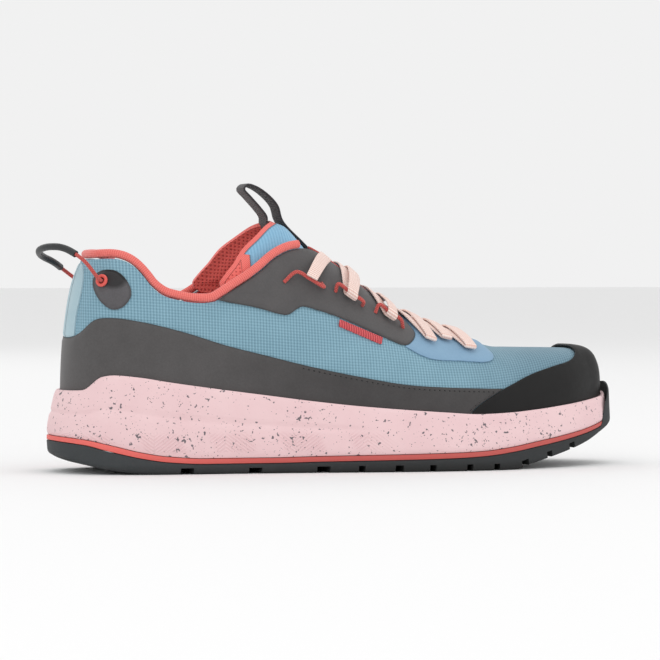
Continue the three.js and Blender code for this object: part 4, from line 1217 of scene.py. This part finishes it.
# share of the way in from the rim, dip of the foot bed there
for share, dip in ((1.0, 1.4), (0.8, 1.3), (0.55, 1.0), (0.3, 0.4), (0.1, 0.05), (0.0, 0.0)):
    bed_rows.append(sole_row(inside + 0.6, BED, INSOLE + GAP - dip, share))
for extra, rise, share in ((0.2, 1.5, 0), (0.4, GAP, 0), (0.4, GAP, 1)):
    bed_rows.append(sole_row(inside + extra, BED, rise, share))
insole = sole_piece("insole_foam", bed_rows)
fit(insole, knit, ["insole"])

# Midsole
# Moulded foam in pale pink with dark flecks, its sides raised round the heel and
# arch, with a soft crease along the rear half and fine slanting ribs low down.
# height up the side, share of the way in from the trim to the rim
MIDSOLE_SIDE = [
    (0, 0.16), (0.06, 0.05), (0.12, 0.02), (0.40, 0.20), (0.62, 0.44), (0.92, 0.78), (1, 1),
]
WRAP, CREASE, CREASE_AT = 2.6, 0.7, 0.52


def under_lip(rise):
    point = skin(around, rise, 2 * GAP + OVERLAY)
    return point[:, 2] < level(RIM, point[:, 0])


lip_rise = highest(under_lip, np.zeros(len(around)), np.full(len(around), 0.8))
lip = skin(around, lip_rise, 2 * GAP + OVERLAY)
inward = outline(around, 1.0) - outline(around, 0.0)
lip_inset = np.sum(((lip - outline(around, 0.0)) * inward)[:, :2], axis=1)
trim_inset = WRAP * wrap
rim_inset = np.maximum(lip_inset - 1.3, trim_inset + 0.1)
foam_rows = [sole_row(trim_inset + 2, TRIM, GAP, share) for share in (1, 0.5)]
back = 1 - soft_step(outline(around, 0.0)[:, 0], 0.42 * LENGTH, 0.56 * LENGTH)
for height, lean in Rail(MIDSOLE_SIDE).along(30):
    crease = CREASE * math.exp(-(((height - CREASE_AT) / 0.045) ** 2)) * back
    row = outline(around, trim_inset + (rim_inset - trim_inset) * lean + crease)
    foam_rows.append(between(row, level(TRIM, row[:, 0]) + GAP, level(RIM, row[:, 0]), height))
foam_rows.append(lip)
for v in (0.12, 0.0):
    foam_rows.append(skin(around, np.minimum(v, lip_rise), 2 * GAP + OVERLAY))
for share in (0.3, 1.0):
    foam_rows.append(at_level(mid_row(foam_rows[-1], share), BED, 0))
midsole = sole_piece("midsole_foam", foam_rows[::-1])
foam = Finish("flecked foam", {"Roughness": 0.72})
x, y, z = foam.place()
clouds = foam.noise(12, 1)
chips = foam.noise(1.9, 2.5) + clouds * 0.22
elsewhere = foam.node("ShaderNodeVectorMath", {}, [foam.spot(), (37.0, 11.0, 5.0)])
crumbs = foam.noise(0.85, 1.5, elsewhere) + clouds * 0.12
grey = foam.ramp(chips, 0.768, 0.785)
dark = foam.ramp(crumbs, 0.772, 0.79)
turned = foam.wave(x, 67) > 0.5
slant = foam.wave(x * (turned * 1.5 - 0.75) + z, 1.7)
band = foam.ramp(z, 9.5, 11) * (1 - foam.ramp(z, 17, 20)) * (1 - foam.ramp(x, -5, 25))
patches = foam.ramp(foam.wave(x + z * 0.4, 33), 0.25, 0.5) * band
skin_grain = foam.noise(0.6, 4)
pink = foam.blend(foam.noise(16), "#E4C0C3", "#EFD1D2")
ribbed = foam.blend(patches * (1 - slant) * 0.3, pink, "#D3A0A4")
foam.coat(
    foam.blend(dark, foam.blend(grey, ribbed, "#6E666B"), "#4A4549"),
    slant * patches * 0.8 + skin_grain * 0.4, 0.18,
)
fit(midsole, foam, ["midsole"], angle=60)

# Sole trim layer
# Thin sheet of coral rubber, glued between outsole and midsole and flush with
# both, its edge a little rounded.
trim_rows = []
# inset from the edge in mm, share of the way in, share of the height
for extra, share, height in (
    (1, 1, 0), (0.15, 0, 0), (0, 0, 0.15), (0.03, 0, 0.5), (0, 0, 0.85), (0.15, 0, 1), (1, 1, 1),
):
    row = mid_row(outline(around, trim_inset + extra), share)
    low_z = level(RUBBER, row[:, 0]) + GAP
    trim_rows.append(between(row, low_z, level(TRIM, row[:, 0]), height))
trim = sole_piece("trim_sheet", trim_rows[::-1])
coral_sheet = Finish("coral rubber", {"Roughness": 0.6})
x, y, z = coral_sheet.place()
grain = coral_sheet.noise(0.7, 4)
bright = coral_sheet.blend(coral_sheet.noise(12), "#DE5C55", "#EE736B")
# Painted shade: the coral is painted darker forward of the heel, from x -115 mm to -40 mm.
coral_sheet.coat(
    coral_sheet.blend(coral_sheet.ramp(x, -115, -40) * 0.75, bright, "#B34F4A"),
    grain, 0.05,
)
fit(trim, coral_sheet, ["sole_trim_layer"], angle=60)

# Outsole
# Dark moulded rubber with upright sides at the heel and a wrap up the toe; the
# lugs are cut apart by cross gaps and by lanes along the tread.
LUG, LANE_RISE, WRAP_TOP = 3.2, 0.6, 40
EDGE_RISE, EDGE_INSET, TOE_LEAN = 1.6, 0.3, 1.2
# x, width along the shoe
LUG_GAPS = [
    (0.201, 0.022), (0.315, 0.022), (0.428, 0.022), (0.491, 0.011), (0.553, 0.014), (0.610, 0.011),
    (0.675, 0.011), (0.725, 0.011), (0.785, 0.014), (0.835, 0.011), (0.885, 0.012),
]
# share of the half width, width in mm
LANES = [(-0.66, 3.2), (-0.22, 3.0), (0.22, 3.0), (0.66, 3.2)]
climb = soft_step(wrap, 0.15, 0.4)
wall_in = np.maximum(WRAP * wrap - GAP, TOE_LEAN * wrap + 0.4)


def wrap_top(row):
    rubber = level(RUBBER, row[:, 0])
    return rubber + climb * (LUG + (WRAP_TOP - rubber - LUG) * wrap)


def lug_depth(x):
    return min(LUG, 0.6 * float(level(RUBBER, x) - level(FLOOR, x)))


rubber_rows = [sole_row(2.6, FLOOR, 0, 1)]
for inset_mm, rise in ((2.2, 0), (1.0, 0.25), (0.45, 0.9), (EDGE_INSET, EDGE_RISE)):
    rubber_rows.append(sole_row(inset_mm, FLOOR, rise))
# share of the way up the side, rounding at the top
for share, rounding in ((0.35, 0), (0.7, 0), (0.94, 0), (1.0, 0.3)):
    lean = (TOE_LEAN * wrap - EDGE_INSET) * min(share / 0.94, 1)
    row = outline(around, EDGE_INSET + lean + rounding)
    low_z = level(FLOOR, row[:, 0]) + EDGE_RISE
    rubber_rows.append(between(row, low_z, wrap_top(row), share))
row = outline(around, wall_in)
rubber_rows.append(between(row, 0, wrap_top(row), 1))
rubber_rows += [sole_row(wall_in, RUBBER, 0, share) for share in (0, 1)]
outsole = sole_piece("outsole_rubber", rubber_rows)

gaps = []
for middle, width in LUG_GAPS:
    x = middle * LENGTH
    low_z = float(level(FLOOR, x))
    slope = float(level(FLOOR, x + 4) - level(FLOOR, x - 4)) / 8
    depth = lug_depth(x)
    bpy.ops.mesh.primitive_cube_add(
        size=1, location=((x - LENGTH / 2) * MM, 0, (low_z - 2) * MM),
        rotation=(0, -math.atan(slope), 0),
        scale=(width * LENGTH * MM, 2 * BALL * MM, (2 * depth + 4) * MM),
    )
    gaps.append(bpy.context.object)
lanes = []
for share, width in LANES:
    rows = []
    for p in np.linspace(3.6, 11.9, 17):
        near, far = outline(p, 0.0), outline(TURNS - p, 0.0)
        y = near[1] + (far[1] - near[1]) * (share + 1) / 2
        x = (near[0] + far[0]) / 2
        low_z = float(level(FLOOR, x))
        top = low_z + lug_depth(x) - LANE_RISE
        sides = ((-1, low_z - 3), (-1, top), (1, top), (1, low_z - 3))
        rows.append([(x - LENGTH / 2, y + sign * width / 2, z) for sign, z in sides])
    lanes.append(rows_piece("lane", rows))
for tool in (joined(gaps), joined(lanes)):
    alone(outsole)
    cut = outsole.modifiers.new("tread", "BOOLEAN")
    cut.operation = "DIFFERENCE"
    cut.solver = "EXACT"
    cut.object = tool
    bpy.ops.object.modifier_apply(modifier="tread")
    bpy.data.objects.remove(tool)
tread = Finish("dark rubber", {"Roughness": 0.78})
x, y, z = tread.place()
grain = tread.noise(0.5, 5)
# Painted shade: the rubber is painted darker towards the ground, where the lugs stand in shadow,
# and towards the toe; the large noise is its own uneven tone.
under = 1 - tread.ramp(z, 1.2, 5.0)
tread.give({
    "Base Color": tread.blend(
        under * 0.6 + tread.noise(10) * 0.2 + tread.ramp(x, -90, 10) * 0.4,
        "#393D3F",
        "#1B1C1C",
    ),
    "Roughness": tread.noise(4) * 0.12 + 0.7,
    "Normal": tread.bump(grain, 0.08),
})
fit(outsole, tread, ["outsole"], angle=30)
